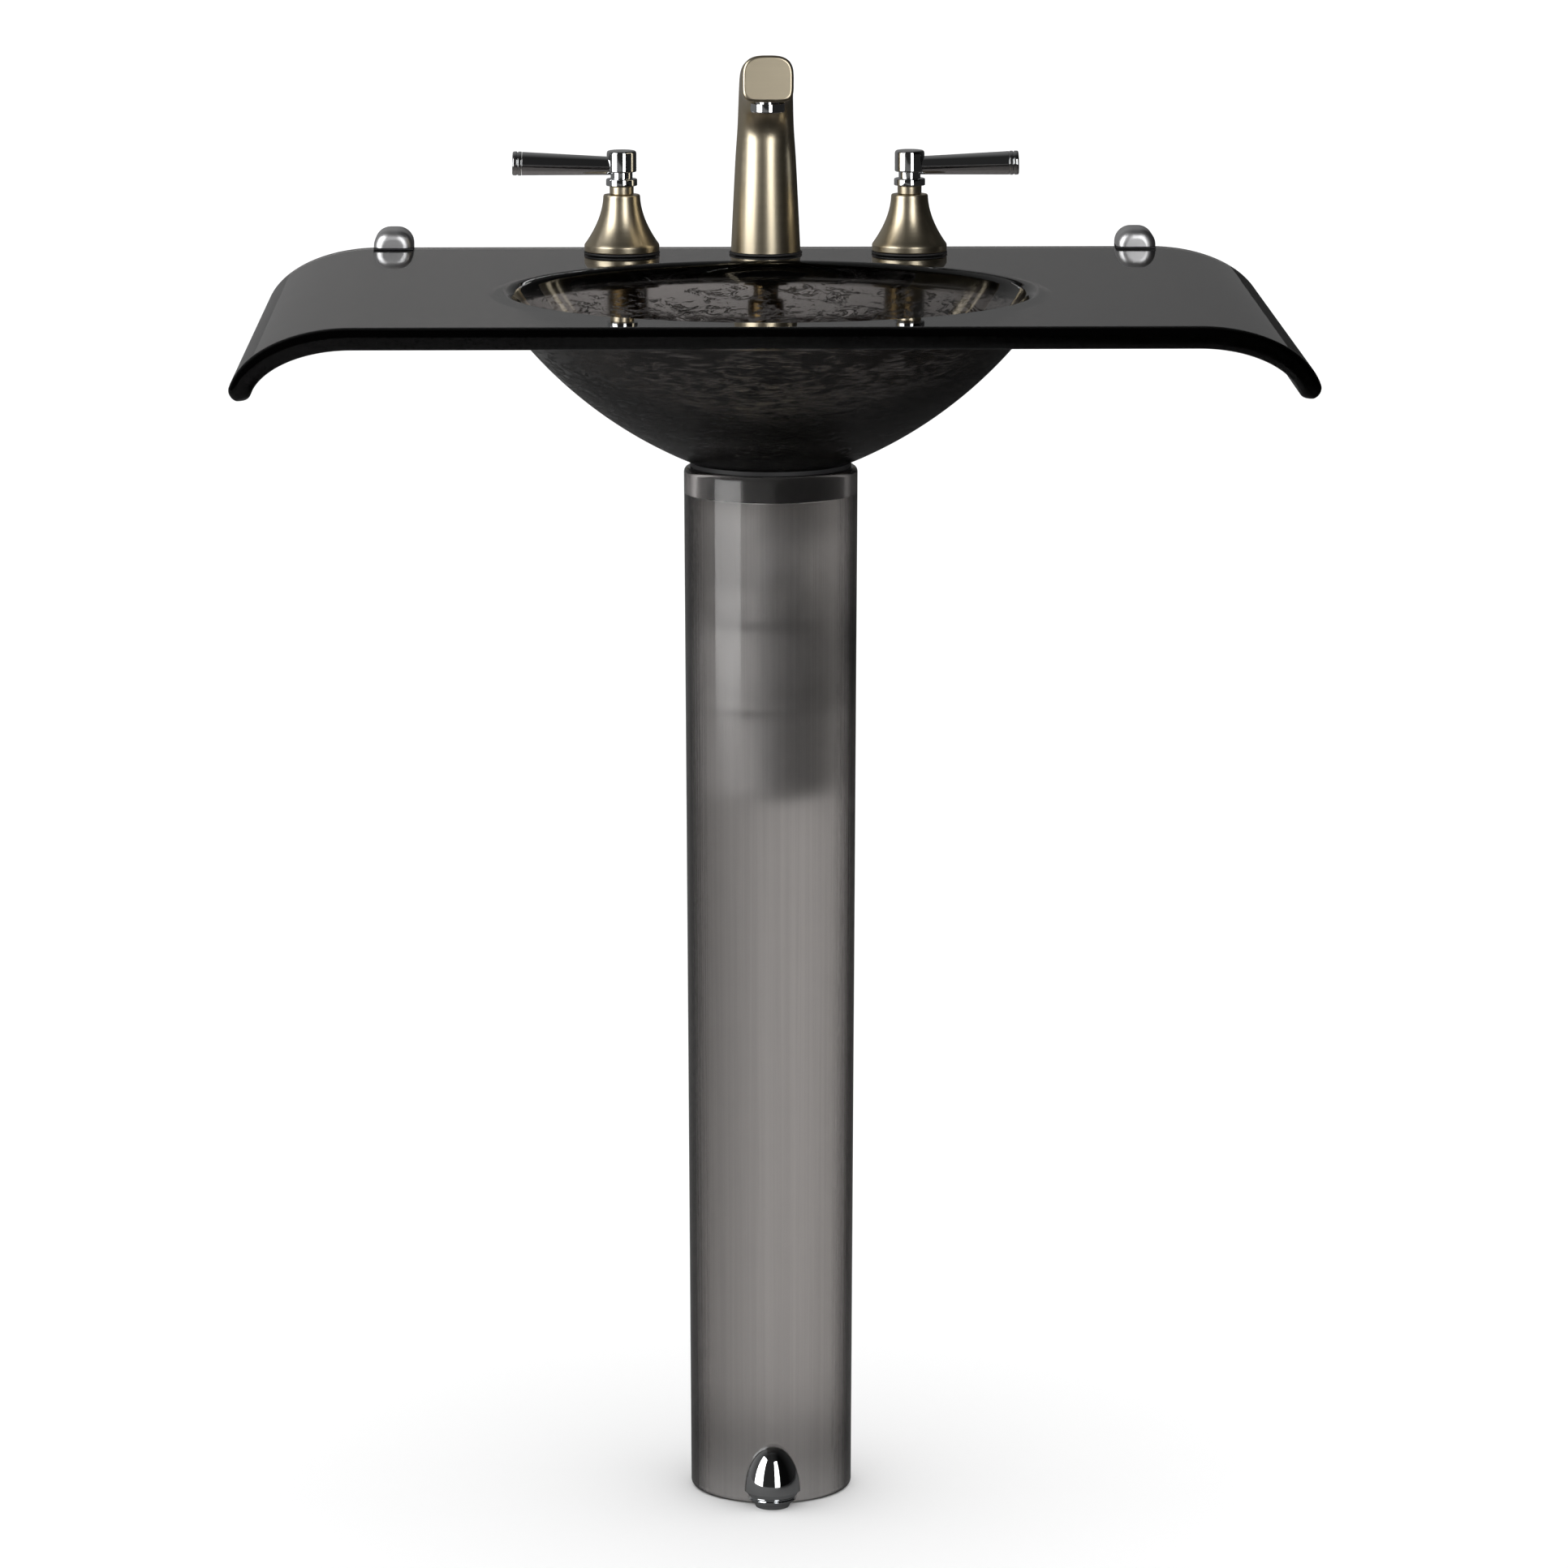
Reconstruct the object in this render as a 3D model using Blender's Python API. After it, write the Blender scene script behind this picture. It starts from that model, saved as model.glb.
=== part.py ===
"""Pedestal sink: a slumped smoked-glass basin on a glass tube, with a widespread faucet.

Metres, +Z up. The floor is z = 0, the wall is behind the sink at +Y, and the origin is the
middle of the sink's footprint. Heights inside the basin and the faucet count from the deck's top.
"""

import math

import bmesh
import bpy
from mathutils import Matrix, Vector

# Fits
GAP = 0.0003                # between pieces that touch
RUNNING_GAP = 0.0004        # between a turning stem and its socket

# Drain
PIPE_RADIUS = 0.016
PIPE_WALL = 0.0015
DRAIN_BORE = PIPE_RADIUS + 0.0005
DRAIN_BODY_RADIUS = DRAIN_BORE + 0.0035
DRAIN_HOLE_RADIUS = DRAIN_BODY_RADIUS + 0.002
DRAIN_FLANGE_RADIUS = DRAIN_BODY_RADIUS + 0.008
DRAIN_FLANGE_HEIGHT = 0.002
DRAIN_BODY_LENGTH = 0.050
DRAIN_NUT_RADIUS = DRAIN_BODY_RADIUS + 0.010
SLIP_NUT_RADIUS = DRAIN_BODY_RADIUS + 0.0045
CAP_RADIUS = DRAIN_BORE + 0.0045
CAP_STEM_RADIUS = 0.003
CAP_STEM_LENGTH = 0.040

# Basin
DECK_TOP = 0.8345
DECK_DEPTH = 0.480
DECK_FLAT = 0.550           # flat width between the two wings
GLASS = 0.015
WING_REACH = 0.0735         # half axes of the quarter ellipse that a wing's middle line follows
WING_DROP = 0.0415
WING_STOP = 11              # degrees above the horizontal where the quarter ellipse ends
TIP_CORNER = 0.010
WALL_GAP = 0.006
BOWL_SETBACK = 0.207        # front edge to the bowl's axis
BOWL_RADIUS = 0.285         # inside, in the turned profile
BOWL_OFFSET = -0.060        # centre of that arc, out from the bowl's axis
BOWL_RISE = 0.158           # and above the deck's top
BOWL_WALL = 0.012
RIM_FILLET = 0.010
BOWL_FLOOR_RADIUS = DRAIN_FLANGE_RADIUS + 0.0017    # flat ring that the drain sits on
BOWL_SEAT_RADIUS = BOWL_FLOOR_RADIUS + 0.005        # flat ring under the bowl

# Trap
TRAP_DROP = 0.250           # deck's top to the trap's outlet
TRAP_RADIUS = PIPE_RADIUS + 0.014
TRAP_WALL = 0.003
TRAP_NECK_RADIUS = PIPE_RADIUS + 0.006
TRAP_OUTLET_RADIUS = PIPE_RADIUS + 0.0035
TRAP_CUP_DROP = 0.345
ARM_NUT_RADIUS = PIPE_RADIUS + 0.007
WALL_FLANGE_RADIUS = PIPE_RADIUS + 0.016
DIP_DEPTH = 0.070           # tailpiece below the outlet, which makes the water seal

# Pedestal
TUBE_TOP_DROP = 0.1195      # deck's top to the tube's rim
TUBE_BASE_RADIUS = TRAP_RADIUS + 0.0255     # leaves room inside for the trap and its nut
TUBE_TOP_RADIUS = TUBE_BASE_RADIUS + 0.0035
TUBE_WALL = 0.008
TUBE_ROUNDING = 0.004
COLLAR_BORE = BOWL_SEAT_RADIUS + 0.0013
COLLAR_DROP = 0.138         # deck's top to the collar's lower face
COLLAR_LIP = 0.0037         # how far its lip lies over the tube's rim
WASTE_HOLE_CLEARANCE = 0.004

# Faucet
FAUCET_SETBACK = 0.048      # back edge to the line of holes
FAUCET_SPACING = 0.1016     # spout to each handle
VALVE_RADIUS = 0.015
FAUCET_HOLE_RADIUS = VALVE_RADIUS + 0.001
GASKET_HEIGHT = 0.0015
SPOUT_COLUMN = 0.080
SPOUT_BEND_RADIUS = 0.046
SPOUT_BEND = 84             # degrees
SPOUT_REACH = 0.110
SPOUT_BORE = 0.006
AERATOR_RADIUS = 0.01175
AERATOR_HEIGHT = 0.0065
AERATOR_NECK_RADIUS = 0.0085
AERATOR_INSET = 0.018       # spout's front end to the aerator's axis
SHANK_RADIUS = 0.009
SHANK_LENGTH = 0.050        # below the deck's top
SHANK_TOP = 0.018
SHANK_BORE = 0.0055
SPOUT_NUT_RADIUS = 0.016
TEE_RADIUS = 0.013
TEE_RISE = 0.019            # from the crossovers' axis to the tee's top
TEE_FALL = 0.007
BELL_RADIUS = VALVE_RADIUS + 0.0115
BELL_TOP_RADIUS = VALVE_RADIUS - 0.002
BELL_FLARE = 1.9            # how late the bell widens towards its foot
BELL_HEIGHT = 0.042
BELL_FOOT = 0.007
BELL_WALL = 0.0018
COLLAR_RADIUS = 0.0085
COLLAR_TOP = 0.048
LEVER_HEIGHT = 0.062        # the bar's axis at the hub
LEVER_REACH = 0.077
HUB_TOP = 0.073
HUB_RADIUS = 0.0105
BAR_RADIUS = 0.00625
BAR_TIP_RADIUS = 0.0083
BAR_TIP_LENGTH = 0.0067     # the separate cap at the bar's end
STEM_RADIUS = 0.004
STEM_BOTTOM = 0.024
STEM_TOP = 0.064
SET_SCREW_RADIUS = 0.0015
SET_SCREW_HEIGHT = 0.0625
VALVE_BORE = VALVE_RADIUS - 0.0037
VALVE_INLET_BORE = 0.006
VALVE_FLOOR = 0.0017        # bottom of the cartridge's bore
VALVE_NUT_RADIUS = VALVE_RADIUS + 0.0085
VALVE_TOP = 0.022
VALVE_DROP = 0.085
VALVE_SHOULDER = 0.068      # deck's top down to where the inlet begins
INLET_RADIUS = 0.010
CROSSOVER_DROP = 0.057
CROSSOVER_RADIUS = 0.005
CROSSOVER_BORE = 0.004
SOCKET_DEPTH = 0.003        # how far a crossover goes into the tee and into the valve
WASHER_HEIGHT = 0.0025

# Clips
CLIP_X = 0.264
CLIP_WIDTH = 0.028
CLIP_RISE = 0.014
CLIP_DROP = 0.031
CLIP_GRIP = 0.024           # how far the clip reaches over the glass
LINER = 0.001
CLAMP_SCREW_RADIUS = 0.003
BULLET_RADIUS = 0.0195
BULLET_HEIGHT = 0.044
BULLET_OUT = 0.0025         # the bullet's axis in front of the tube
PAD = 0.0015
STUD_RADIUS = 0.003
STUD_OUT = 0.006            # the stud's axis in front of the bullet's

# Smoothness
BIG_STEPS = 48
STEPS = 20
SMALL_STEPS = 12

# Places that follow from the sizes above
FRONT_Y = -(DECK_DEPTH + WALL_GAP) / 2
BACK_Y = FRONT_Y + DECK_DEPTH
WALL_Y = BACK_Y + WALL_GAP
BOWL_Y = FRONT_Y + BOWL_SETBACK
FAUCET_Y = BACK_Y - FAUCET_SETBACK
TUBE_TOP = DECK_TOP - TUBE_TOP_DROP
OUTER_RADIUS = BOWL_RADIUS + BOWL_WALL


# ------------------------------------------------------------------ materials

def material(name, colour, roughness, metallic=0.0):
    """A plain Principled material."""
    made = bpy.data.materials.new(name)
    made.use_nodes = True
    shader = made.node_tree.nodes["Principled BSDF"]
    shader.inputs["Base Color"].default_value = (*colour, 1.0)
    shader.inputs["Roughness"].default_value = roughness
    shader.inputs["Metallic"].default_value = metallic
    return made


def make_materials():
    """One material for each finish."""
    return {
        "smoked_glass": material("smoked_glass", (0.055, 0.050, 0.048), 0.08),
        "column_glass": material("column_glass", (0.23, 0.21, 0.20), 0.25),
        "rubber": material("rubber", (0.012, 0.012, 0.013), 0.6),
        "nickel": material("nickel", (0.62, 0.56, 0.46), 0.3, 1.0),
        "chrome": material("chrome", (0.85, 0.86, 0.87), 0.06, 1.0),
        "brass": material("brass", (0.70, 0.50, 0.22), 0.35, 1.0),
        "copper": material("copper", (0.78, 0.38, 0.24), 0.3, 1.0),
        "steel": material("steel", (0.55, 0.55, 0.56), 0.4, 1.0),
        "plastic": material("plastic", (0.80, 0.78, 0.72), 0.45),
    }


# ------------------------------------------------------------------ making solids

def new_object(name, bm, finish=None):
    """An object from a bmesh, with its faces pointing out and round sides smooth."""
    bmesh.ops.recalc_face_normals(bm, faces=bm.faces)
    mesh = bpy.data.meshes.new(name)
    bm.to_mesh(mesh)
    bm.free()
    mesh.shade_smooth()
    mesh.set_sharp_from_angle(angle=math.radians(35))
    if finish:
        mesh.materials.append(finish)
    made = bpy.data.objects.new(name, mesh)
    bpy.context.collection.objects.link(made)
    return made


def turned(name, outline, finish=None, steps=STEPS, sweep=math.tau):
    """A closed (radius, height) outline turned about Z, or through part of a turn."""
    bm = bmesh.new()
    whole = sweep >= math.tau
    count = steps if whole else steps + 1
    rings = []
    for radius, height in outline:
        if radius == 0:
            rings.append([bm.verts.new((0, 0, height))] * count)
            continue
        ring = []
        for step in range(count):
            angle = sweep * step / steps - (0 if whole else sweep / 2)
            ring.append(bm.verts.new((radius * math.cos(angle), radius * math.sin(angle), height)))
        rings.append(ring)
    for lower, upper in zip(rings, rings[1:] + rings[:1]):
        for step in range(steps):
            after = (step + 1) % count
            corners = [lower[step], lower[after], upper[after], upper[step]]
            corners = list(dict.fromkeys(corners))
            if len(corners) > 2:
                bm.faces.new(corners)
    if not whole:
        bm.faces.new([ring[0] for ring in rings])
        bm.faces.new([ring[-1] for ring in rings])
    return new_object(name, bm, finish)


def rod(name, radius, bottom, top, finish=None, steps=STEPS):
    """A plain round bar."""
    return turned(name, [(0, bottom), (radius, bottom), (radius, top), (0, top)], finish, steps)


def sleeve(name, bore, radius, bottom, top, finish=None, steps=STEPS):
    """A plain ring or pipe."""
    outline = [(bore, bottom), (radius, bottom), (radius, top), (bore, top)]
    return turned(name, outline, finish, steps)


def lofted(name, rings, finish=None):
    """Rings of points joined side by side, with both ends closed."""
    bm = bmesh.new()
    rows = [[bm.verts.new(point) for point in ring] for ring in rings]
    for lower, upper in zip(rows, rows[1:]):
        for here in range(len(lower)):
            after = (here + 1) % len(lower)
            bm.faces.new([lower[here], lower[after], upper[after], upper[here]])
    bm.faces.new(rows[0])
    bm.faces.new(rows[-1])
    return new_object(name, bm, finish)


def prism(name, outline, axis, start, end, finish=None):
    """A flat outline in the two other axes, pulled along X, Y or Z."""
    place = {
        "X": lambda u, v, along: (along, u, v),
        "Y": lambda u, v, along: (u, along, v),
        "Z": lambda u, v, along: (u, v, along),
    }[axis]
    return lofted(name, [[place(u, v, along) for u, v in outline] for along in (start, end)], finish)


def box(name, low, high):
    """A plain block."""
    outline = [(low[0], low[1]), (high[0], low[1]), (high[0], high[1]), (low[0], high[1])]
    return prism(name, outline, "Z", low[2], high[2])


def arc(centre, radius, start, end, count):
    """Points of a circle from one angle to another, in degrees."""
    points = []
    for step in range(count + 1):
        angle = math.radians(start + (end - start) * step / count)
        points.append((centre[0] + radius * math.cos(angle), centre[1] + radius * math.sin(angle)))
    return points


def moved(shape, matrix):
    """The same object with its mesh moved."""
    shape.data.transform(matrix)
    return shape


def shifted(shape, x=0.0, y=0.0, z=0.0):
    """The same object with its mesh shifted."""
    return moved(shape, Matrix.Translation((x, y, z)))


def along_y(shape):
    """The same object with its +Z turned to +Y."""
    return moved(shape, Matrix.Rotation(-math.pi / 2, 4, "X"))


def along_x(shape):
    """The same object with its +Z turned to +X."""
    return moved(shape, Matrix.Rotation(math.pi / 2, 4, "Y"))


def combine(target, other, operation):
    """Cuts or joins another shape, which is used up."""
    modifier = target.modifiers.new(operation.lower(), "BOOLEAN")
    modifier.operation = operation
    modifier.object = other
    bpy.context.view_layer.update()
    graph = bpy.context.evaluated_depsgraph_get()
    result = bpy.data.meshes.new_from_object(target.evaluated_get(graph))
    target.modifiers.clear()
    target.data = result
    result.set_sharp_from_angle(angle=math.radians(35))
    bpy.data.objects.remove(other)
    return target


def cut(target, other):
    return combine(target, other, "DIFFERENCE")


def join(target, other):
    return combine(target, other, "UNION")


def hex_nut(name, bore, radius, bottom, top, finish):
    """A six-sided nut with a round bore; the radius is to its corners."""
    nut = rod(name, radius, bottom, top, finish, steps=6)
    return cut(nut, rod("bore", bore, bottom - GAP, top + GAP))


def axis_at(name, x, y, z, turn=0.0):
    """An empty that carries the pieces on one axis."""
    empty = bpy.data.objects.new(name, None)
    bpy.context.collection.objects.link(empty)
    empty.location = (x, y, z)
    empty.rotation_euler = (0, 0, turn)
    return empty


def carry(empty, *shapes):
    """Puts pieces on an axis."""
    for shape in shapes:
        shape.parent = empty


# ------------------------------------------------------------------ basin

def bowl_height(radius, arc_radius):
    """Height of the bowl's turned surface at a distance from its axis."""
    return BOWL_RISE - math.sqrt(arc_radius ** 2 - (radius - BOWL_OFFSET) ** 2)


def bowl_arc(arc_radius, first_radius, last_height, count):
    """Points of the bowl's turned profile, from near the axis up to a height."""
    start = math.asin((first_radius - BOWL_OFFSET) / arc_radius)
    end = math.acos((BOWL_RISE - last_height) / arc_radius)
    points = []
    for step in range(count + 1):
        slope = start + (end - start) * step / count
        radius = BOWL_OFFSET + arc_radius * math.sin(slope)
        points.append((radius, BOWL_RISE - arc_radius * math.cos(slope)))
    return points


def rim_fillet(count):
    """The rounded rim: tangent to the bowl's arc and, nearly, to the deck's top."""
    centre_height = -RIM_FILLET
    reach = BOWL_RADIUS + RIM_FILLET
    slope = math.acos((BOWL_RISE - centre_height) / reach)
    centre = (BOWL_OFFSET + reach * math.sin(slope), centre_height)
    shallow = 8
    steep = math.degrees(slope)
    points = arc(centre, RIM_FILLET, 90 + steep, 90 + shallow, count)
    last = points[-1]
    rise = 0.0005
    points.append((last[0] + rise / math.tan(math.radians(shallow)), last[1] + rise))
    return points


def wing_columns():
    """Pairs of points across the glass, from the flat's right end to the wing's tip."""
    half = GLASS / 2
    columns = []
    steps = 8
    for step in range(steps + 1):
        angle = math.radians(90 - (90 - WING_STOP) * step / steps)
        across = Vector((math.cos(angle) / WING_REACH, math.sin(angle) / WING_DROP)).normalized()
        middle = Vector((
            DECK_FLAT / 2 + WING_REACH * math.cos(angle),
            -half - WING_DROP * (1 - math.sin(angle)),
        ))
        columns.append((middle + across * half, middle - across * half))
    onward = Vector((across.y, -across.x))
    for turn in (30, 60, 90):
        bow = math.radians(turn)
        end = middle + onward * half * math.sin(bow)
        columns.append((end + across * half * math.cos(bow), end - across * half * math.cos(bow)))
    return columns


def deck_sheet(finish):
    """The deck with its two wings, before the bowl and the holes are made."""
    right = wing_columns()
    left = [tuple(Vector((-point.x, point.y)) for point in pair) for pair in right]
    columns = left[::-1] + right
    lowest = min(point.y for pair in right for point in pair)

    def end_at(height):
        fall = max(lowest + TIP_CORNER - height, 0.0)
        return TIP_CORNER - math.sqrt(max(TIP_CORNER ** 2 - fall ** 2, 0.0))

    rings = []
    for top, bottom in columns:
        ring = []
        for point, back in ((top, False), (top, True), (bottom, True), (bottom, False)):
            inset = end_at(point.y)
            ring.append((point.x, BACK_Y - inset if back else FRONT_Y + inset, point.y))
        rings.append(ring)
    deck = lofted("glass_basin", rings, finish)
    bm = bmesh.new()
    bm.from_mesh(deck.data)
    bmesh.ops.remove_doubles(bm, verts=bm.verts, dist=0.00001)
    bmesh.ops.dissolve_degenerate(bm, edges=bm.edges, dist=0.00001)
    bm.to_mesh(deck.data)
    bm.free()
    return deck


def make_basin(finish):
    """Deck and bowl as one sheet of glass, with its drain and faucet holes."""
    basin = deck_sheet(finish)
    seat = bowl_height(BOWL_SEAT_RADIUS, OUTER_RADIUS)
    outside = [(0, seat)] + bowl_arc(OUTER_RADIUS, BOWL_SEAT_RADIUS, -GLASS / 2, 9)
    outside.append((0, -GLASS / 2))
    join(basin, shifted(turned("bowl_outside", outside, steps=BIG_STEPS), y=BOWL_Y))
    fillet = rim_fillet(3)
    floor = bowl_height(BOWL_FLOOR_RADIUS, BOWL_RADIUS)
    inside = [(0, floor)] + bowl_arc(BOWL_RADIUS, BOWL_FLOOR_RADIUS, fillet[0][1], 9)
    inside += fillet[1:]
    inside += [(fillet[-1][0], GLASS), (0, GLASS)]
    cut(basin, shifted(turned("bowl_inside", inside, steps=BIG_STEPS), y=BOWL_Y))
    drain = rod("drain_hole", DRAIN_HOLE_RADIUS, seat - GLASS, floor + GLASS)
    cut(basin, shifted(drain, y=BOWL_Y))
    for side in (-1, 0, 1):
        hole = rod("faucet_hole", FAUCET_HOLE_RADIUS, -2 * GLASS, GLASS)
        cut(basin, shifted(hole, x=side * FAUCET_SPACING, y=FAUCET_Y))
    basin.location.z = DECK_TOP
    return basin


# ------------------------------------------------------------------ pedestal

def tube_radius(height):
    """Outside radius of the pedestal tube at a height above the floor."""
    return TUBE_BASE_RADIUS + (TUBE_TOP_RADIUS - TUBE_BASE_RADIUS) * height / TUBE_TOP


def make_pedestal(finish, rubber):
    """The glass tube, with its hole for the waste pipe, and the collar that the bowl sits on."""
    top_outer = tube_radius(TUBE_TOP - TUBE_ROUNDING)
    corner = arc((top_outer - TUBE_ROUNDING, TUBE_TOP - TUBE_ROUNDING), TUBE_ROUNDING, 0, 90, 3)
    outline = [(TUBE_BASE_RADIUS - TUBE_WALL, 0), (TUBE_BASE_RADIUS, 0)] + corner
    outline.append((TUBE_TOP_RADIUS - TUBE_WALL, TUBE_TOP))
    tube = turned("pedestal_tube", outline, finish, BIG_STEPS)
    hole = along_y(rod("hole", PIPE_RADIUS + WASTE_HOLE_CLEARANCE, 0, 2 * TUBE_TOP_RADIUS))
    cut(tube, shifted(hole, z=DECK_TOP - TRAP_DROP))
    tube.location.y = BOWL_Y

    inner = tube_radius(DECK_TOP - COLLAR_DROP) - TUBE_WALL - GAP
    lip = TUBE_TOP_RADIUS - TUBE_WALL + COLLAR_LIP
    cone = [lip, inner, (inner + COLLAR_BORE) / 2, COLLAR_BORE]
    outline = [(COLLAR_BORE, -COLLAR_DROP), (inner, -COLLAR_DROP), (inner, GAP - TUBE_TOP_DROP)]
    outline.append((lip, GAP - TUBE_TOP_DROP))
    outline += [(radius, bowl_height(radius, OUTER_RADIUS) - GAP) for radius in cone]
    collar = turned("pedestal_collar", outline, rubber, BIG_STEPS)
    collar.location = (0, BOWL_Y, DECK_TOP)


def make_floor_clip(side, chrome, rubber, steel):
    """A chrome bullet that holds the tube's foot, with its rubber pad and floor stud."""
    axis = TUBE_BASE_RADIUS + BULLET_OUT
    waist = 0.010
    outline = [(0, 0), (0.0115, 0), (0.0125, 0.0025), (0.0188, 0.0075)]
    for step in range(7):
        angle = math.radians(15 * step)
        rise = (BULLET_HEIGHT - waist) * math.sin(angle)
        radius = 0.0 if step == 6 else BULLET_RADIUS * math.cos(angle)
        outline.append((radius, waist + rise))
    bullet = shifted(turned(f"floor_clip_{side}", outline, chrome), x=axis)
    back = TUBE_BASE_RADIUS + 2 * GAP + PAD
    cut(bullet, rod("tube_space", back, -waist, 2 * BULLET_HEIGHT, steps=BIG_STEPS))
    stud_height = 0.012
    stud_axis = axis + STUD_OUT
    cut(bullet, shifted(rod("hole", STUD_RADIUS + GAP, -waist, stud_height + GAP), x=stud_axis))
    pad_outline = [(back - GAP - PAD, GAP), (back - GAP, GAP)]
    pad_outline += [(back - GAP, 0.7 * BULLET_HEIGHT), (back - GAP - PAD, 0.7 * BULLET_HEIGHT)]
    pad = turned(f"floor_pad_{side}", pad_outline, rubber, 6, math.radians(24))
    stud = shifted(rod(f"floor_stud_{side}", STUD_RADIUS, GAP, stud_height, steel), x=stud_axis)
    turn = -math.pi / 2 if side == "front" else math.pi / 2
    carry(axis_at(f"foot_{side}", 0, BOWL_Y, 0, turn), bullet, pad, stud)


# ------------------------------------------------------------------ wall clips

def make_wall_clip(side, chrome, rubber, steel):
    """A chrome clip on the wall that grips the deck's back edge through a rubber liner."""
    half = CLIP_WIDTH / 2
    corner = 0.010
    outline = [(-half, -CLIP_DROP), (half, -CLIP_DROP)]
    outline += arc((half - corner, CLIP_RISE - corner), corner, 0, 90, 4)
    outline += arc((corner - half, CLIP_RISE - corner), corner, 90, 180, 4)
    front = BACK_Y - CLIP_GRIP
    body = prism(f"wall_clip_{side}", outline, "Y", front, WALL_Y, chrome)
    slot = LINER + 2 * GAP
    low = (-CLIP_WIDTH, front - slot, -GLASS - slot)
    cut(body, box("slot", low, (CLIP_WIDTH, BACK_Y + slot, slot)))
    screw_y = BACK_Y - CLIP_GRIP / 2
    screw_top = -GLASS - slot - GAP
    hole = rod("hole", CLAMP_SCREW_RADIUS + GAP, -CLIP_DROP - slot, screw_top + 2 * GAP)
    cut(body, shifted(hole, y=screw_y))

    outer = LINER + GAP
    back = BACK_Y + outer
    liner_outline = [(front, GAP), (BACK_Y + GAP, GAP), (BACK_Y + GAP, -GLASS - GAP)]
    liner_outline += [(front, -GLASS - GAP), (front, -GLASS - outer)]
    liner_outline += [(back, -GLASS - outer), (back, outer), (front, outer)]
    liner = prism(f"clip_liner_{side}", liner_outline, "X", -half, half, rubber)
    screw = rod(f"clamp_screw_{side}", CLAMP_SCREW_RADIUS, -CLIP_DROP, screw_top, steel, SMALL_STEPS)
    shifted(screw, y=screw_y)
    sign = -1 if side == "left" else 1
    carry(axis_at(f"clip_{side}", sign * CLIP_X, 0, DECK_TOP), body, liner, screw)


# ------------------------------------------------------------------ waste

def make_drain(chrome, rubber, brass):
    """The drain through the bowl: flanged body, lifting cap, gasket and nut."""
    floor = bowl_height(BOWL_FLOOR_RADIUS, BOWL_RADIUS)
    seat = bowl_height(BOWL_SEAT_RADIUS, OUTER_RADIUS)
    flange = floor + GAP + DRAIN_FLANGE_HEIGHT
    bottom = flange - DRAIN_BODY_LENGTH
    outline = [(DRAIN_BORE, bottom), (DRAIN_BODY_RADIUS, bottom), (DRAIN_BODY_RADIUS, floor + GAP)]
    outline += [(DRAIN_FLANGE_RADIUS, floor + GAP), (DRAIN_FLANGE_RADIUS, floor + 0.0013)]
    outline += [(DRAIN_FLANGE_RADIUS - 0.002, flange), (DRAIN_BORE, flange)]
    body = turned("drain_body", outline, chrome)
    bar = flange - 0.030
    inside = DRAIN_BORE + 0.001
    join(body, box("crossbar", (-inside, -0.0055, bar), (inside, 0.0055, bar + 0.004)))
    cut(body, rod("guide", CAP_STEM_RADIUS + RUNNING_GAP, bar - 0.004, bar + 0.008))

    stem_end = flange + GAP - CAP_STEM_LENGTH
    outline = [(0, stem_end), (CAP_STEM_RADIUS, stem_end), (CAP_STEM_RADIUS, flange + GAP)]
    outline += [(CAP_RADIUS, flange + GAP), (CAP_RADIUS, flange + 0.0013)]
    outline += [(0.8 * CAP_RADIUS, flange + 0.0031), (0.45 * CAP_RADIUS, flange + 0.0041)]
    outline.append((0, flange + 0.0045))
    cap = turned("drain_cap", outline, chrome)

    top = seat - GAP
    thread = DRAIN_BODY_RADIUS + GAP
    gasket = sleeve("drain_gasket", thread, DRAIN_FLANGE_RADIUS + 0.001, top - 0.003, top, rubber)
    nut = hex_nut("drain_nut", thread, DRAIN_NUT_RADIUS, top - 0.012, top - 0.003 - GAP, brass)

    pipe_top = bottom + 0.008
    outline = [(PIPE_RADIUS + GAP, bottom - 0.006), (SLIP_NUT_RADIUS, bottom - 0.006)]
    outline += [(SLIP_NUT_RADIUS, bottom + 0.014), (thread, bottom + 0.014)]
    outline.append((thread, bottom - 0.0015))
    outline.append((PIPE_RADIUS + GAP, bottom - 0.0015))
    slip_nut = turned("tailpiece_nut", outline, chrome)
    pipe_end = -TRAP_DROP - DIP_DEPTH
    bore = PIPE_RADIUS - PIPE_WALL
    tail = sleeve("tailpiece", bore, PIPE_RADIUS, pipe_end, pipe_top, chrome)
    carry(axis_at("drain_axis", 0, BOWL_Y, DECK_TOP), body, cap, gasket, nut, slip_nut, tail)


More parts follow.
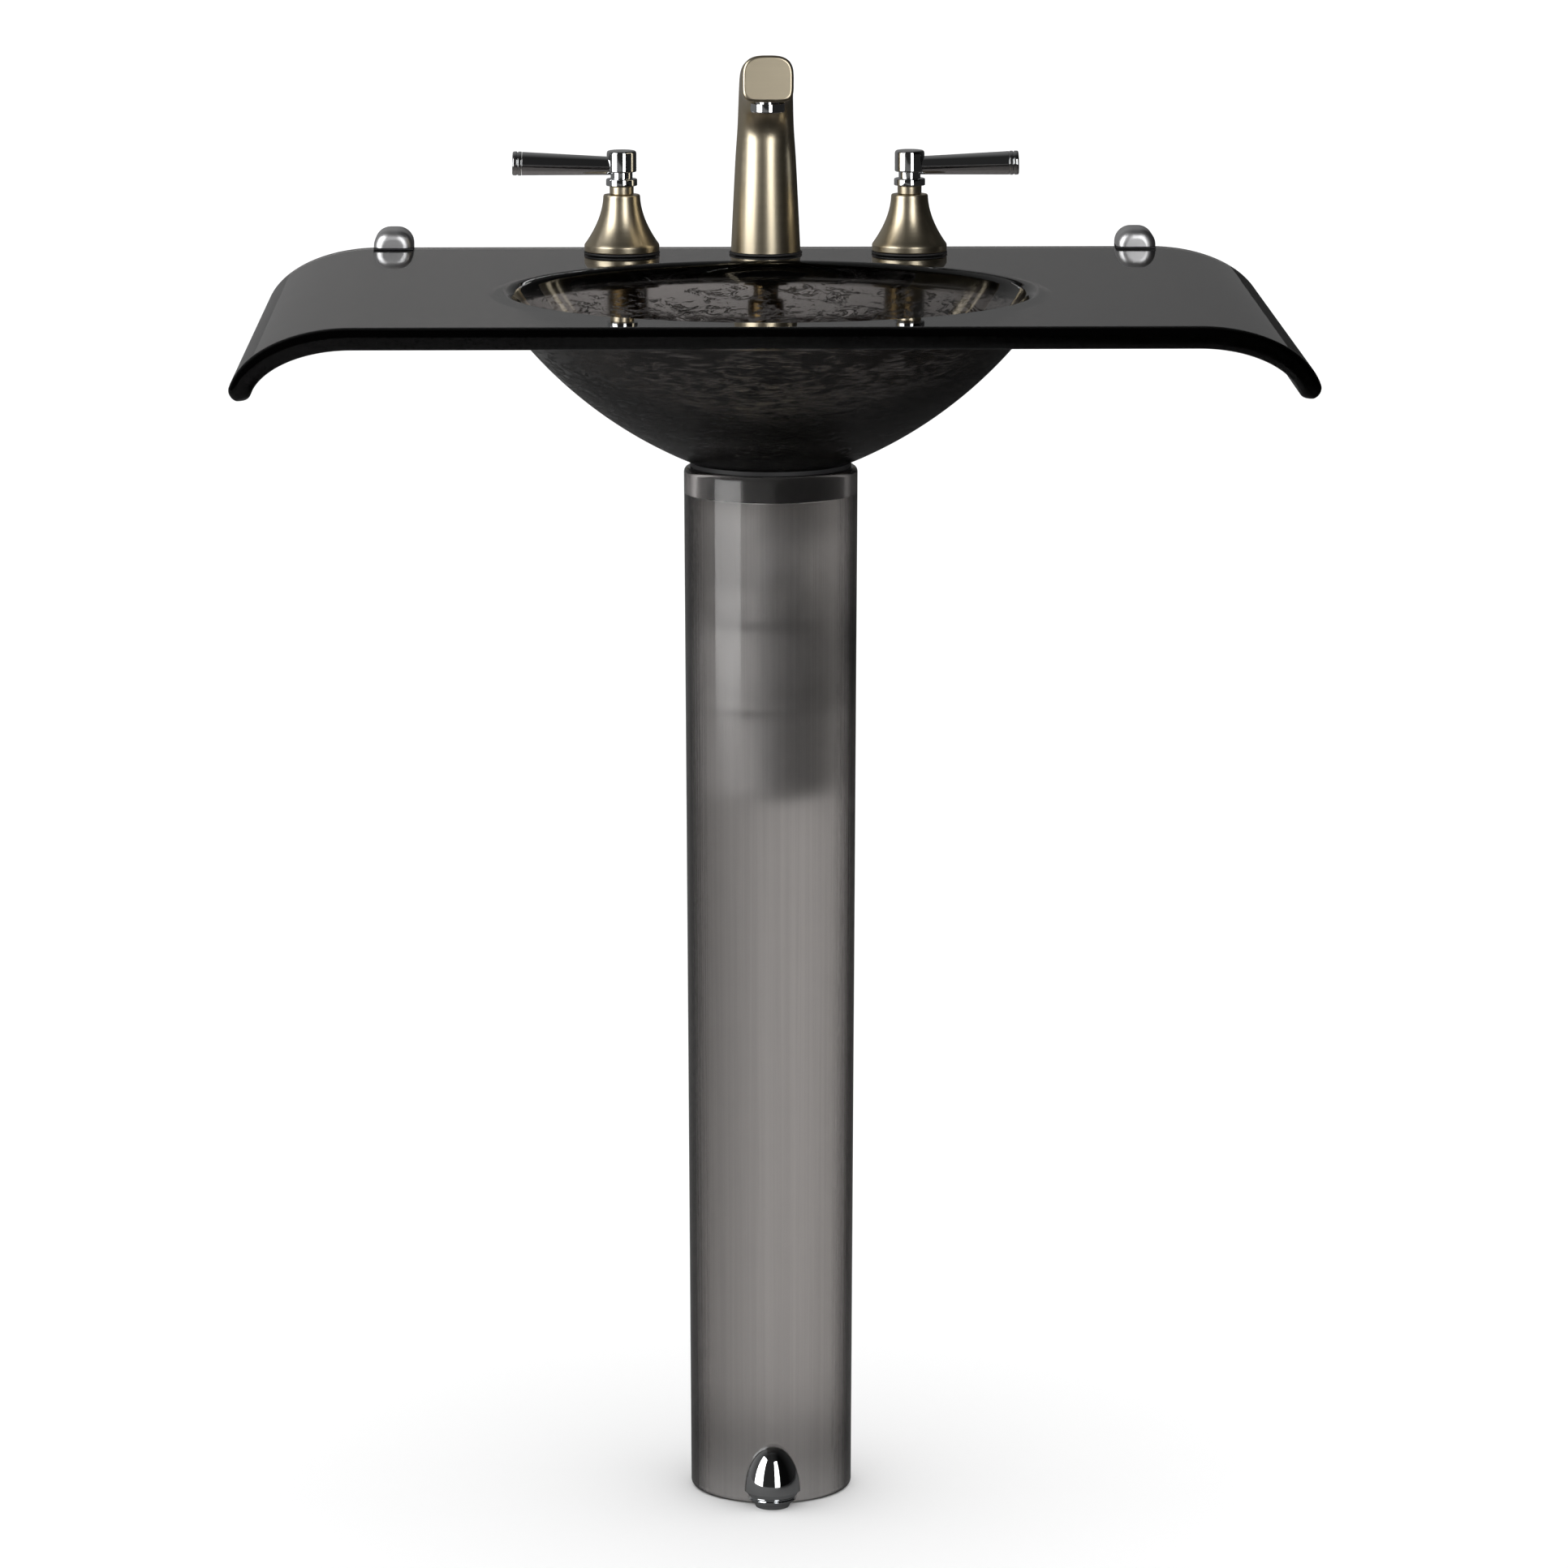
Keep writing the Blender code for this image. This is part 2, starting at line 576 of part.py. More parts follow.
def make_trap(chrome):
    """The bottle trap inside the tube, and the pipe from it to the wall."""
    fit = PIPE_RADIUS + GAP
    neck = TRAP_NECK_RADIUS
    body_top = TRAP_OUTLET_RADIUS + 0.0065
    body_bottom = -TRAP_OUTLET_RADIUS - 0.0105
    neck_top = body_top + 0.014
    inside = TRAP_RADIUS - TRAP_WALL
    outline = [(inside, body_bottom), (TRAP_RADIUS, body_bottom), (TRAP_RADIUS, body_top - 0.004)]
    outline += [(TRAP_RADIUS - 0.004, body_top), (neck, body_top), (neck, neck_top)]
    outline += [(fit, neck_top), (fit, body_top - TRAP_WALL), (inside, body_top - TRAP_WALL)]
    body = turned("trap_body", outline, chrome)
    spigot_end = TRAP_RADIUS + 0.006
    join(body, along_y(rod("outlet", TRAP_OUTLET_RADIUS, TRAP_RADIUS - TRAP_WALL, spigot_end)))
    cut(body, along_y(rod("bore", fit, PIPE_RADIUS, spigot_end + GAP)))

    cup_wall = TRAP_RADIUS + GAP
    bottom = TRAP_DROP - TRAP_CUP_DROP
    lip = body_bottom + 0.009
    outline = [(0, bottom), (cup_wall - 0.008, bottom), (cup_wall - 0.001, bottom + 0.006)]
    outline += [(cup_wall - 0.001, body_bottom - 0.006), (cup_wall + TRAP_WALL, body_bottom - 0.003)]
    outline += [(cup_wall + TRAP_WALL, lip), (cup_wall, lip), (cup_wall, body_bottom - 0.001)]
    outline += [(inside, body_bottom - 0.004), (inside, bottom + 0.008)]
    outline += [(inside - 0.006, bottom + TRAP_WALL), (0, bottom + TRAP_WALL)]
    cup = turned("trap_cup", outline, chrome)

    outline = [(fit, neck_top + GAP), (neck + 0.0035, neck_top + GAP)]
    outline += [(neck + 0.0035, neck_top + 0.010), (fit, neck_top + 0.010)]
    inlet_nut = turned("trap_inlet_nut", outline, chrome)

    arm_start = TRAP_RADIUS - 0.004
    wall = WALL_Y - BOWL_Y
    arm = along_y(sleeve("trap_arm", PIPE_RADIUS - PIPE_WALL, PIPE_RADIUS, arm_start, wall, chrome))
    arm_nut = sleeve("trap_arm_nut", fit, ARM_NUT_RADIUS, spigot_end + GAP, spigot_end + 0.006, chrome)
    along_y(arm_nut)
    flange_outline = [(fit, wall - 0.012), (fit + 0.003, wall - 0.012), (fit + 0.010, wall - 0.006)]
    flange_outline += [(WALL_FLANGE_RADIUS, wall - 0.0015), (WALL_FLANGE_RADIUS, wall), (fit, wall)]
    flange = along_y(turned("wall_flange", flange_outline, chrome))
    trap_axis = axis_at("trap_axis", 0, BOWL_Y, DECK_TOP - TRAP_DROP)
    carry(trap_axis, body, cup, inlet_nut, arm, arm_nut, flange)


# ------------------------------------------------------------------ spout

def soft_section(width, depth, upper, lower, count):
    """A rounded section, flatter where its power is higher; a power of 2 is an ellipse."""
    points = []
    for step in range(count):
        angle = math.tau * step / count
        power = upper if math.sin(angle) >= 0 else lower
        across = math.copysign(abs(math.cos(angle)) ** (2 / power), math.cos(angle))
        rise = math.copysign(abs(math.sin(angle)) ** (2 / power), math.sin(angle))
        points.append((across * width / 2, rise * depth / 2))
    return points


def spout_path(distance):
    """A point of the spout's middle line in (forward, up), and its tilt from the vertical."""
    if distance <= SPOUT_COLUMN:
        return (0.0, distance), 0.0
    bend = math.radians(SPOUT_BEND)
    tilt = min((distance - SPOUT_COLUMN) / SPOUT_BEND_RADIUS, bend)
    forward = SPOUT_BEND_RADIUS * (1 - math.cos(tilt))
    up = SPOUT_COLUMN + SPOUT_BEND_RADIUS * math.sin(tilt)
    straight = max(distance - SPOUT_COLUMN - SPOUT_BEND_RADIUS * bend, 0.0)
    return (forward + straight * math.sin(tilt), up + straight * math.cos(tilt)), tilt


def spout_length():
    """Distance along the middle line to the spout's front end."""
    bend = math.radians(SPOUT_BEND)
    bent = SPOUT_BEND_RADIUS * (1 - math.cos(bend))
    straight = (SPOUT_REACH - bent) / math.sin(bend)
    return SPOUT_COLUMN + SPOUT_BEND_RADIUS * bend + straight


def blend_at(stops, distance):
    """Reads a size between the stops of a (distance, size) list."""
    for (before, first), (after, second) in zip(stops, stops[1:]):
        if distance <= after:
            return first + (second - first) * (distance - before) / (after - before)
    return stops[-1][1]


def make_spout(nickel, chrome, rubber, brass):
    """The spout with its gasket, aerator, shank, washer, nut and tee."""
    foot = GASKET_HEIGHT + 2 * GAP
    end = spout_length()
    widths = [(0, 0.0494), (0.065, 0.0430), (0.094, 0.0394), (0.150, 0.0372), (end, 0.0355)]
    depths = [(0, 0.0494), (0.065, 0.0440), (0.094, 0.0400), (0.150, 0.0345), (end, 0.0320)]
    uppers = [(0, 2.0), (0.065, 2.1), (0.150, 2.6), (end, 3.0)]
    lowers = [(0, 2.0), (0.094, 2.1), (0.150, 3.0), (end, 5.0)]
    stops = [foot, 0.030, 0.060] + [SPOUT_COLUMN + 0.0135 * step for step in range(6)]
    stops += [0.165, 0.185, 0.205, end - 0.003, end - 0.0008, end]
    shrink = {end - 0.0008: 0.95, end: 0.86}
    rings = []
    for distance in stops:
        (forward, up), tilt = spout_path(distance)
        scale = shrink.get(distance, 1.0)
        width = blend_at(widths, distance) * scale
        depth = blend_at(depths, distance) * scale
        upper = blend_at(uppers, distance)
        lower = blend_at(lowers, distance)
        ring = []
        for across, rise in soft_section(width, depth, upper, lower, STEPS):
            back = rise * math.cos(tilt)
            ring.append((across, back - forward, up + rise * math.sin(tilt)))
        rings.append(ring)
    spout = lofted("spout", rings, nickel)
    cut(spout, rod("socket", SHANK_RADIUS + GAP, -foot, SHANK_TOP + GAP, steps=STEPS))
    water = []
    for distance in [SHANK_TOP - 0.002, 0.045] + stops[3:9] + [0.165, end - AERATOR_INSET]:
        (forward, up), tilt = spout_path(distance)
        ring = []
        for across, rise in soft_section(2 * SPOUT_BORE, 2 * SPOUT_BORE, 2, 2, SMALL_STEPS):
            ring.append((across, rise * math.cos(tilt) - forward, up + rise * math.sin(tilt)))
        water.append(ring)
    cut(spout, lofted("waterway", water))
    outlet_y = AERATOR_INSET - SPOUT_REACH
    (_, head), _ = spout_path(end - AERATOR_INSET)
    mouth = head - blend_at(depths, end - AERATOR_INSET) / 2
    neck = AERATOR_NECK_RADIUS
    cut(spout, shifted(rod("seat", AERATOR_RADIUS + 0.001, mouth - 0.010, mouth + GAP), y=outlet_y))
    cut(spout, shifted(rod("socket", neck + GAP, mouth - 0.005, head), y=outlet_y))

    bottom = mouth - AERATOR_HEIGHT
    inside = neck - PIPE_WALL
    outline = [(inside, bottom), (AERATOR_RADIUS - 0.0005, bottom), (AERATOR_RADIUS, bottom + 0.0005)]
    outline += [(AERATOR_RADIUS, mouth), (neck, mouth), (neck, head - 0.008), (inside, head - 0.008)]
    aerator = shifted(turned("aerator", outline, chrome), y=outlet_y)

    gasket = sleeve("spout_gasket", 2 * SHANK_RADIUS, 0.0258, GAP, GAP + GASKET_HEIGHT, rubber)
    shank = sleeve("spout_shank", SHANK_BORE, SHANK_RADIUS, -SHANK_LENGTH, SHANK_TOP, brass, SMALL_STEPS)
    under = -GLASS - GAP
    washed = under - WASHER_HEIGHT
    fit = SHANK_RADIUS + GAP
    washer = sleeve("spout_washer", fit, 0.022, washed, under, rubber)
    nut = hex_nut("spout_nut", fit, SPOUT_NUT_RADIUS, under - 0.010, washed - GAP, brass)
    tee = rod("spout_tee", TEE_RADIUS, -CROSSOVER_DROP - TEE_FALL, -CROSSOVER_DROP + TEE_RISE, brass)
    cut(tee, rod("socket", fit, -SHANK_LENGTH - GAP, 0))
    cut(tee, rod("waterway", CROSSOVER_RADIUS, -CROSSOVER_DROP, 0))
    cross = along_x(rod("cross", CROSSOVER_RADIUS + GAP, -2 * TEE_RADIUS, 2 * TEE_RADIUS))
    cut(tee, shifted(cross, z=-CROSSOVER_DROP))
    carry(axis_at("spout_axis", 0, FAUCET_Y, DECK_TOP), spout, aerator, gasket, shank, washer, nut, tee)


# ------------------------------------------------------------------ handles

def bell_radius(height):
    """Outside radius of a handle's bell, which flares towards its foot."""
    share = (BELL_HEIGHT - height) / (BELL_HEIGHT - BELL_FOOT)
    return BELL_TOP_RADIUS + (BELL_RADIUS - 0.0002 - BELL_TOP_RADIUS) * share ** BELL_FLARE


def make_bell(name, nickel):
    """The hollow bell that covers a valve."""
    foot = GASKET_HEIGHT + 2 * GAP
    heights = [BELL_FOOT + (BELL_HEIGHT - 0.001 - BELL_FOOT) * step / 4 for step in range(5)]
    hole = 0.0075
    outline = [(BELL_RADIUS - 0.003, foot), (BELL_RADIUS - 0.001, foot), (BELL_RADIUS, foot + 0.001)]
    outline.append((BELL_RADIUS, BELL_FOOT - 0.002))
    outline += [(bell_radius(height), height) for height in heights]
    outline += [(BELL_TOP_RADIUS - 0.001, BELL_HEIGHT), (hole, BELL_HEIGHT)]
    outline.append((hole, BELL_HEIGHT - BELL_WALL))
    for height in reversed(heights[:-1]):
        outline.append((bell_radius(height) - BELL_WALL, height))
    return turned(name, outline, nickel)


def make_lever(name, chrome):
    """Hub and bar in one piece, pointing along +X, with sockets for the stem, tip and screw."""
    ring_bottom = COLLAR_TOP + GAP
    ring_radius = 0.011
    outline = [(0, ring_bottom), (ring_radius - 0.0005, ring_bottom)]
    outline += [(ring_radius, ring_bottom + 0.0005), (ring_radius, 0.0525), (ring_radius - 0.001, 0.0533)]
    outline += [(0.00775, 0.0533), (0.00775, 0.0578), (HUB_RADIUS - 0.0007, 0.0583)]
    outline += [(HUB_RADIUS, 0.059), (HUB_RADIUS, HUB_TOP - 0.002), (HUB_RADIUS - 0.002, HUB_TOP)]
    outline.append((0, HUB_TOP + 0.0003))
    hub = turned(name, outline, chrome)
    bar_end = LEVER_REACH - BAR_TIP_LENGTH
    bar = turned("bar", [(0, 0), (BAR_RADIUS, 0), (BAR_TIP_RADIUS, bar_end), (0, bar_end)])
    join(hub, moved(bar, bar_frame()))
    socket = rod("socket", STEM_RADIUS + GAP, bar_end - 0.008, bar_end + 0.008, steps=SMALL_STEPS)
    cut(hub, moved(socket, bar_frame()))
    cut(hub, rod("stem_socket", STEM_RADIUS + GAP, STEM_BOTTOM, STEM_TOP + 0.0005, steps=SMALL_STEPS))
    screw_hole = rod("screw_hole", SET_SCREW_RADIUS + GAP, 0.001, 2 * HUB_RADIUS, steps=8)
    cut(hub, shifted(along_y(screw_hole), z=SET_SCREW_HEIGHT))
    return hub


def bar_frame():
    """Turns +Z into the lever bar's own direction, with its underside level."""
    rise = math.atan2(BAR_TIP_RADIUS - BAR_RADIUS, LEVER_REACH)
    turn = Matrix.Rotation(math.pi / 2 - rise, 4, "Y")
    return Matrix.Translation((0, 0, LEVER_HEIGHT)) @ turn


def make_lever_tip(name, chrome):
    """The ringed end cap that plugs into the lever's bar."""
    start = LEVER_REACH - BAR_TIP_LENGTH + GAP
    radius = BAR_TIP_RADIUS + 0.0002
    outline = [(0, start - 0.007), (STEM_RADIUS, start - 0.007), (STEM_RADIUS, start)]
    outline += [(radius, start), (radius, LEVER_REACH - 0.0012), (radius - 0.001, LEVER_REACH - 0.0003)]
    outline.append((0, LEVER_REACH))
    return moved(turned(name, outline, chrome), bar_frame())


def make_valve(name, brass):
    """The valve body under a handle: cartridge bore, threaded inlet and side outlet."""
    outline = [(VALVE_INLET_BORE, -VALVE_DROP), (INLET_RADIUS, -VALVE_DROP)]
    outline.append((INLET_RADIUS, -VALVE_SHOULDER))
    outline += [(VALVE_RADIUS, -VALVE_SHOULDER), (VALVE_RADIUS, VALVE_TOP), (VALVE_BORE, VALVE_TOP)]
    outline += [(VALVE_BORE, VALVE_FLOOR), (VALVE_INLET_BORE, VALVE_FLOOR)]
    body = turned(name, outline, brass)
    boss = along_x(rod("boss", 0.0075, 0.010, VALVE_RADIUS + 0.008, steps=SMALL_STEPS))
    join(body, shifted(moved(boss, Matrix.Rotation(math.pi, 4, "Z")), z=-CROSSOVER_DROP))
    bore = along_x(rod("bore", CROSSOVER_RADIUS + GAP, 0.001, 0.040, steps=SMALL_STEPS))
    return cut(body, shifted(moved(bore, Matrix.Rotation(math.pi, 4, "Z")), z=-CROSSOVER_DROP))


def make_handle(side, finishes):
    """One handle: valve below, bell on the deck, and the turning lever on its stem."""
    chrome, brass, rubber = finishes["chrome"], finishes["brass"], finishes["rubber"]
    bell = make_bell(f"{side}_bell", finishes["nickel"])
    gasket_bore = VALVE_RADIUS + 0.003
    gasket_top = GAP + GASKET_HEIGHT
    gasket = sleeve(f"{side}_gasket", gasket_bore, BELL_RADIUS + GAP, GAP, gasket_top, rubber)
    collar = sleeve(f"{side}_collar", 0.0065, COLLAR_RADIUS, BELL_HEIGHT + GAP, COLLAR_TOP,
                    finishes["nickel"])
    lever = make_lever(f"{side}_lever", chrome)
    tip = make_lever_tip(f"{side}_lever_tip", chrome)
    screw = rod(f"{side}_set_screw", SET_SCREW_RADIUS, STEM_RADIUS + GAP, 0.0095, finishes["steel"], 8)
    shifted(along_y(screw), z=SET_SCREW_HEIGHT)
    stem = rod(f"{side}_stem", STEM_RADIUS, STEM_BOTTOM, STEM_TOP, brass, SMALL_STEPS)
    cartridge_bore = STEM_RADIUS + RUNNING_GAP
    base = VALVE_FLOOR + GAP
    pocket = STEM_BOTTOM - RUNNING_GAP
    outline = [(0, base), (VALVE_BORE - GAP, base), (VALVE_BORE - GAP, 0.030), (0.0085, 0.034)]
    outline += [(cartridge_bore, 0.034), (cartridge_bore, pocket), (0, pocket)]
    cartridge = turned(f"{side}_cartridge", outline, finishes["plastic"])
    valve = make_valve(f"{side}_valve", brass)
    under = -GLASS - GAP
    washed = under - WASHER_HEIGHT
    fit = VALVE_RADIUS + GAP
    washer = sleeve(f"{side}_washer", fit, VALVE_RADIUS + 0.009, washed, under, rubber)
    nut = hex_nut(f"{side}_nut", fit, VALVE_NUT_RADIUS, under - 0.011, washed - GAP, brass)
    sign = -1 if side == "hot" else 1
    turn = math.pi if side == "hot" else 0.0
    handle_axis = axis_at(f"{side}_axis", sign * FAUCET_SPACING, FAUCET_Y, DECK_TOP, turn)
    carry(handle_axis, bell, gasket, collar, lever, tip, screw, stem, cartridge, valve, washer, nut)

    start = TEE_RADIUS - SOCKET_DEPTH
    end = FAUCET_SPACING - VALVE_RADIUS - SOCKET_DEPTH
    pipe = along_x(sleeve(f"{side}_crossover", CROSSOVER_BORE, CROSSOVER_RADIUS, start, end,
                          finishes["copper"], SMALL_STEPS))
    spout_side = axis_at(f"{side}_crossover_axis", 0, FAUCET_Y, DECK_TOP - CROSSOVER_DROP, turn)
    carry(spout_side, pipe)


# ------------------------------------------------------------------ the sink

def main():
    for old in list(bpy.data.objects):
        bpy.data.objects.remove(old)
    finishes = make_materials()
    chrome, rubber, steel = finishes["chrome"], finishes["rubber"], finishes["steel"]
    make_basin(finishes["smoked_glass"])
    make_pedestal(finishes["column_glass"], rubber)
    for side in ("front", "rear"):
        make_floor_clip(side, chrome, rubber, steel)
    for side in ("left", "right"):
        make_wall_clip(side, chrome, rubber, steel)
    make_drain(chrome, rubber, finishes["brass"])
    make_trap(chrome)
    make_spout(finishes["nickel"], chrome, rubber, finishes["brass"])
    for side in ("hot", "cold"):
        make_handle(side, finishes)


main()
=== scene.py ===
import math

import bmesh
import bpy
from mathutils import Matrix, Vector


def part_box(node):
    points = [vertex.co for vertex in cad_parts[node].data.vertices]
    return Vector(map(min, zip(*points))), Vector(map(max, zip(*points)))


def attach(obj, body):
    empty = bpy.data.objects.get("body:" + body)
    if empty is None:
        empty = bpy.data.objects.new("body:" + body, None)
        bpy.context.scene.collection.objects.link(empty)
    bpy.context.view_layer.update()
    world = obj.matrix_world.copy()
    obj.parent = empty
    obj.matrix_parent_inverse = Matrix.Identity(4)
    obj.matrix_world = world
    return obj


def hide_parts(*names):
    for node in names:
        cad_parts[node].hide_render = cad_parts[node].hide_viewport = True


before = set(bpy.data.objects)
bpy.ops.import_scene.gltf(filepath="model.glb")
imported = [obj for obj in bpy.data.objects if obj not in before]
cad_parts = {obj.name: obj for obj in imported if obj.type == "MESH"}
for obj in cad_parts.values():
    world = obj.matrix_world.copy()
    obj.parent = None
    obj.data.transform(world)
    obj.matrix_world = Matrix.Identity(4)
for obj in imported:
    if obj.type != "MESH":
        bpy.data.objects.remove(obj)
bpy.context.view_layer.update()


# ---------------------------------------------------------------- the glass basin
# One sheet of smoked glass, 15 mm thick, slumped over a mould in a kiln: the deck stays flat, both
# wings droop and the middle sinks into the bowl. The top and the ground edges are polished, and the
# underside keeps the faint drag marks of the mould.

GLASS = 0.015
BOWL_WALL = 0.012
BOWL_ARC = 0.285            # inside radius of the bowl's turned arc
ARC_OUT = -0.060            # where that arc's centre is, out from the bowl's axis
ARC_UP = 0.158              # and above the deck
RIM_ROUND = 0.010
ROOT_ROUND = 0.012          # the hollow corner between the bowl and the deck's underside
BOWL_FLOOR = 0.0297
BOWL_SEAT = 0.0347
DRAIN_HOLE = 0.022
DECK_HALF = 0.275           # half the flat width between the wings
WING_OUT = 0.0733
WING_DOWN = 0.0415
WING_STOP = 11              # degrees
TIP_CORNER = 0.010
EDGE_ROUND = 0.0045
TAP_HOLE = 0.016
GAP = 0.0003                # between pieces that touch
WELD = 0.00001              # corners closer than this are one corner

basin_low, basin_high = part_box("glass_basin")
tube_low, tube_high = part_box("pedestal_tube")
spout_low, spout_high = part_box("spout_gasket")
DECK = basin_high.z
BOWL_Y = (tube_low.y + tube_high.y) / 2
TAP_Y = (spout_low.y + spout_high.y) / 2
TAP_X = (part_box("cold_gasket")[0].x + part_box("cold_gasket")[1].x) / 2


def node_group(name, inputs, outputs):
    """An empty shader group with named sockets, and its two end nodes."""
    tree = bpy.data.node_groups.new(name, "ShaderNodeTree")
    for label, kind, value in inputs:
        socket = tree.interface.new_socket(label, in_out="INPUT", socket_type=f"NodeSocket{kind}")
        if value is not None:
            socket.default_value = value
    for label, kind in outputs:
        tree.interface.new_socket(label, in_out="OUTPUT", socket_type=f"NodeSocket{kind}")
    return tree, tree.nodes.new("NodeGroupInput"), tree.nodes.new("NodeGroupOutput")


def add_node(tree, kind, settings=None, values=None):
    """A node with its settings and the plain values of its sockets."""
    node = tree.nodes.new(kind)
    for key, value in (settings or {}).items():
        setattr(node, key, value)
    for key, value in (values or {}).items():
        node.inputs[key].default_value = value
    return node


def surface_grain():
    """Uneven colour, gloss and height, as fine or as coarse as its size says."""
    tree, start, end = node_group(
        "surface_grain",
        [("Vector", "Vector", None), ("Colour", "Color", None), ("Shade Change", "Float", 0.05),
         ("Roughness", "Float", 0.2), ("Roughness Change", "Float", 0.05), ("Size", "Float", 60.0),
         ("Cloud Size", "Float", 6.0)],
        [("Colour", "Color"), ("Roughness", "Float"), ("Height", "Float")],
    )
    fine = add_node(tree, "ShaderNodeTexNoise", values={"Detail": 3.0, "Roughness": 0.55})
    cloud = add_node(tree, "ShaderNodeTexNoise", values={"Detail": 2.0, "Roughness": 0.5})
    link = tree.links.new
    for noise, size in ((fine, "Size"), (cloud, "Cloud Size")):
        link(start.outputs["Vector"], noise.inputs["Vector"])
        link(start.outputs[size], noise.inputs["Scale"])
    both = add_node(tree, "ShaderNodeMath", {"operation": "ADD"})
    link(fine.outputs["Fac"], both.inputs[0])
    link(cloud.outputs["Fac"], both.inputs[1])
    centred = add_node(tree, "ShaderNodeMath", {"operation": "SUBTRACT"}, {1: 1.0})
    link(both.outputs[0], centred.inputs[0])
    gloss = add_node(tree, "ShaderNodeMath", {"operation": "MULTIPLY_ADD", "use_clamp": True})
    link(centred.outputs[0], gloss.inputs[0])
    link(start.outputs["Roughness Change"], gloss.inputs[1])
    link(start.outputs["Roughness"], gloss.inputs[2])
    link(gloss.outputs[0], end.inputs["Roughness"])
    shade = add_node(tree, "ShaderNodeMath", {"operation": "MULTIPLY_ADD"}, {2: 1.0})
    link(centred.outputs[0], shade.inputs[0])
    link(start.outputs["Shade Change"], shade.inputs[1])
    shaded = add_node(tree, "ShaderNodeVectorMath", {"operation": "SCALE"})
    link(start.outputs["Colour"], shaded.inputs[0])
    link(shade.outputs[0], shaded.inputs["Scale"])
    link(shaded.outputs[0], end.inputs["Colour"])
    link(fine.outputs["Fac"], end.inputs["Height"])
    return tree


GRAIN = surface_grain()


def finish(name, colour, roughness, metallic=0.0, size=60.0, cloud=6.0, stretch=(1, 1, 1),
           shade=0.06, gloss=0.05, bump=0.1, depth=0.0002):
    """A material whose colour, gloss and height all vary; also returns its shader."""
    made = bpy.data.materials.new(name)
    made.use_nodes = True
    tree = made.node_tree
    shader = tree.nodes["Principled BSDF"]
    shader.inputs["Metallic"].default_value = metallic
    place = add_node(tree, "ShaderNodeTexCoord")
    mapping = add_node(tree, "ShaderNodeMapping", values={"Scale": stretch})
    grain = add_node(tree, "ShaderNodeGroup", {"node_tree": GRAIN}, {
        "Colour": (*colour, 1.0), "Shade Change": shade, "Roughness": roughness,
        "Roughness Change": gloss, "Size": size, "Cloud Size": cloud,
    })
    relief = add_node(tree, "ShaderNodeBump", values={"Strength": bump, "Distance": depth})
    link = tree.links.new
    link(place.outputs["Object"], mapping.inputs["Vector"])
    link(mapping.outputs["Vector"], grain.inputs["Vector"])
    link(grain.outputs["Colour"], shader.inputs["Base Color"])
    link(grain.outputs["Roughness"], shader.inputs["Roughness"])
    link(grain.outputs["Height"], relief.inputs["Height"])
    link(relief.outputs["Normal"], shader.inputs["Normal"])
    return made, shader


def drag_marks():
    """Fine strokes that run round the bowl, as the glass drew itself over the mould. They end where
    the flat deck begins."""
    tree, start, end = node_group("drag_marks", [("Vector", "Vector", None)], [("Height", "Float")])
    link = tree.links.new
    parts = add_node(tree, "ShaderNodeSeparateXYZ")
    link(start.outputs["Vector"], parts.inputs["Vector"])
    along = add_node(tree, "ShaderNodeMath", {"operation": "SUBTRACT"}, {1: BOWL_Y})
    link(parts.outputs["Y"], along.inputs[0])
    angle = add_node(tree, "ShaderNodeMath", {"operation": "ARCTAN2"})
    link(along.outputs[0], angle.inputs[0])
    link(parts.outputs["X"], angle.inputs[1])
    flat = add_node(tree, "ShaderNodeCombineXYZ")
    link(parts.outputs["X"], flat.inputs["X"])
    link(along.outputs[0], flat.inputs["Y"])
    radius = add_node(tree, "ShaderNodeVectorMath", {"operation": "LENGTH"})
    link(flat.outputs["Vector"], radius.inputs[0])
    unrolled = add_node(tree, "ShaderNodeCombineXYZ")
    for value, scale, axis in ((angle.outputs[0], 2.2, "X"), (radius.outputs["Value"], 55.0, "Y")):
        size = add_node(tree, "ShaderNodeMath", {"operation": "MULTIPLY"}, {1: scale})
        link(value, size.inputs[0])
        link(size.outputs[0], unrolled.inputs[axis])
    strokes = add_node(tree, "ShaderNodeTexNoise", values={"Scale": 4.2, "Detail": 6.0, "Roughness": 0.75,
                                                          "Distortion": 1.1})
    link(unrolled.outputs["Vector"], strokes.inputs["Vector"])
    sharp = add_node(tree, "ShaderNodeMapRange", values={"From Min": 0.42, "From Max": 0.60})
    link(strokes.outputs["Fac"], sharp.inputs["Value"])
    outside = add_node(tree, "ShaderNodeMapRange", values={"From Min": 0.14, "From Max": 0.19})
    link(radius.outputs["Value"], outside.inputs["Value"])
    kept = add_node(tree, "ShaderNodeMath", {"operation": "MAXIMUM"})
    link(sharp.outputs["Result"], kept.inputs[0])
    link(outside.outputs["Result"], kept.inputs[1])
    link(kept.outputs[0], end.inputs["Height"])
    return tree


DRAG_MARKS = drag_marks()


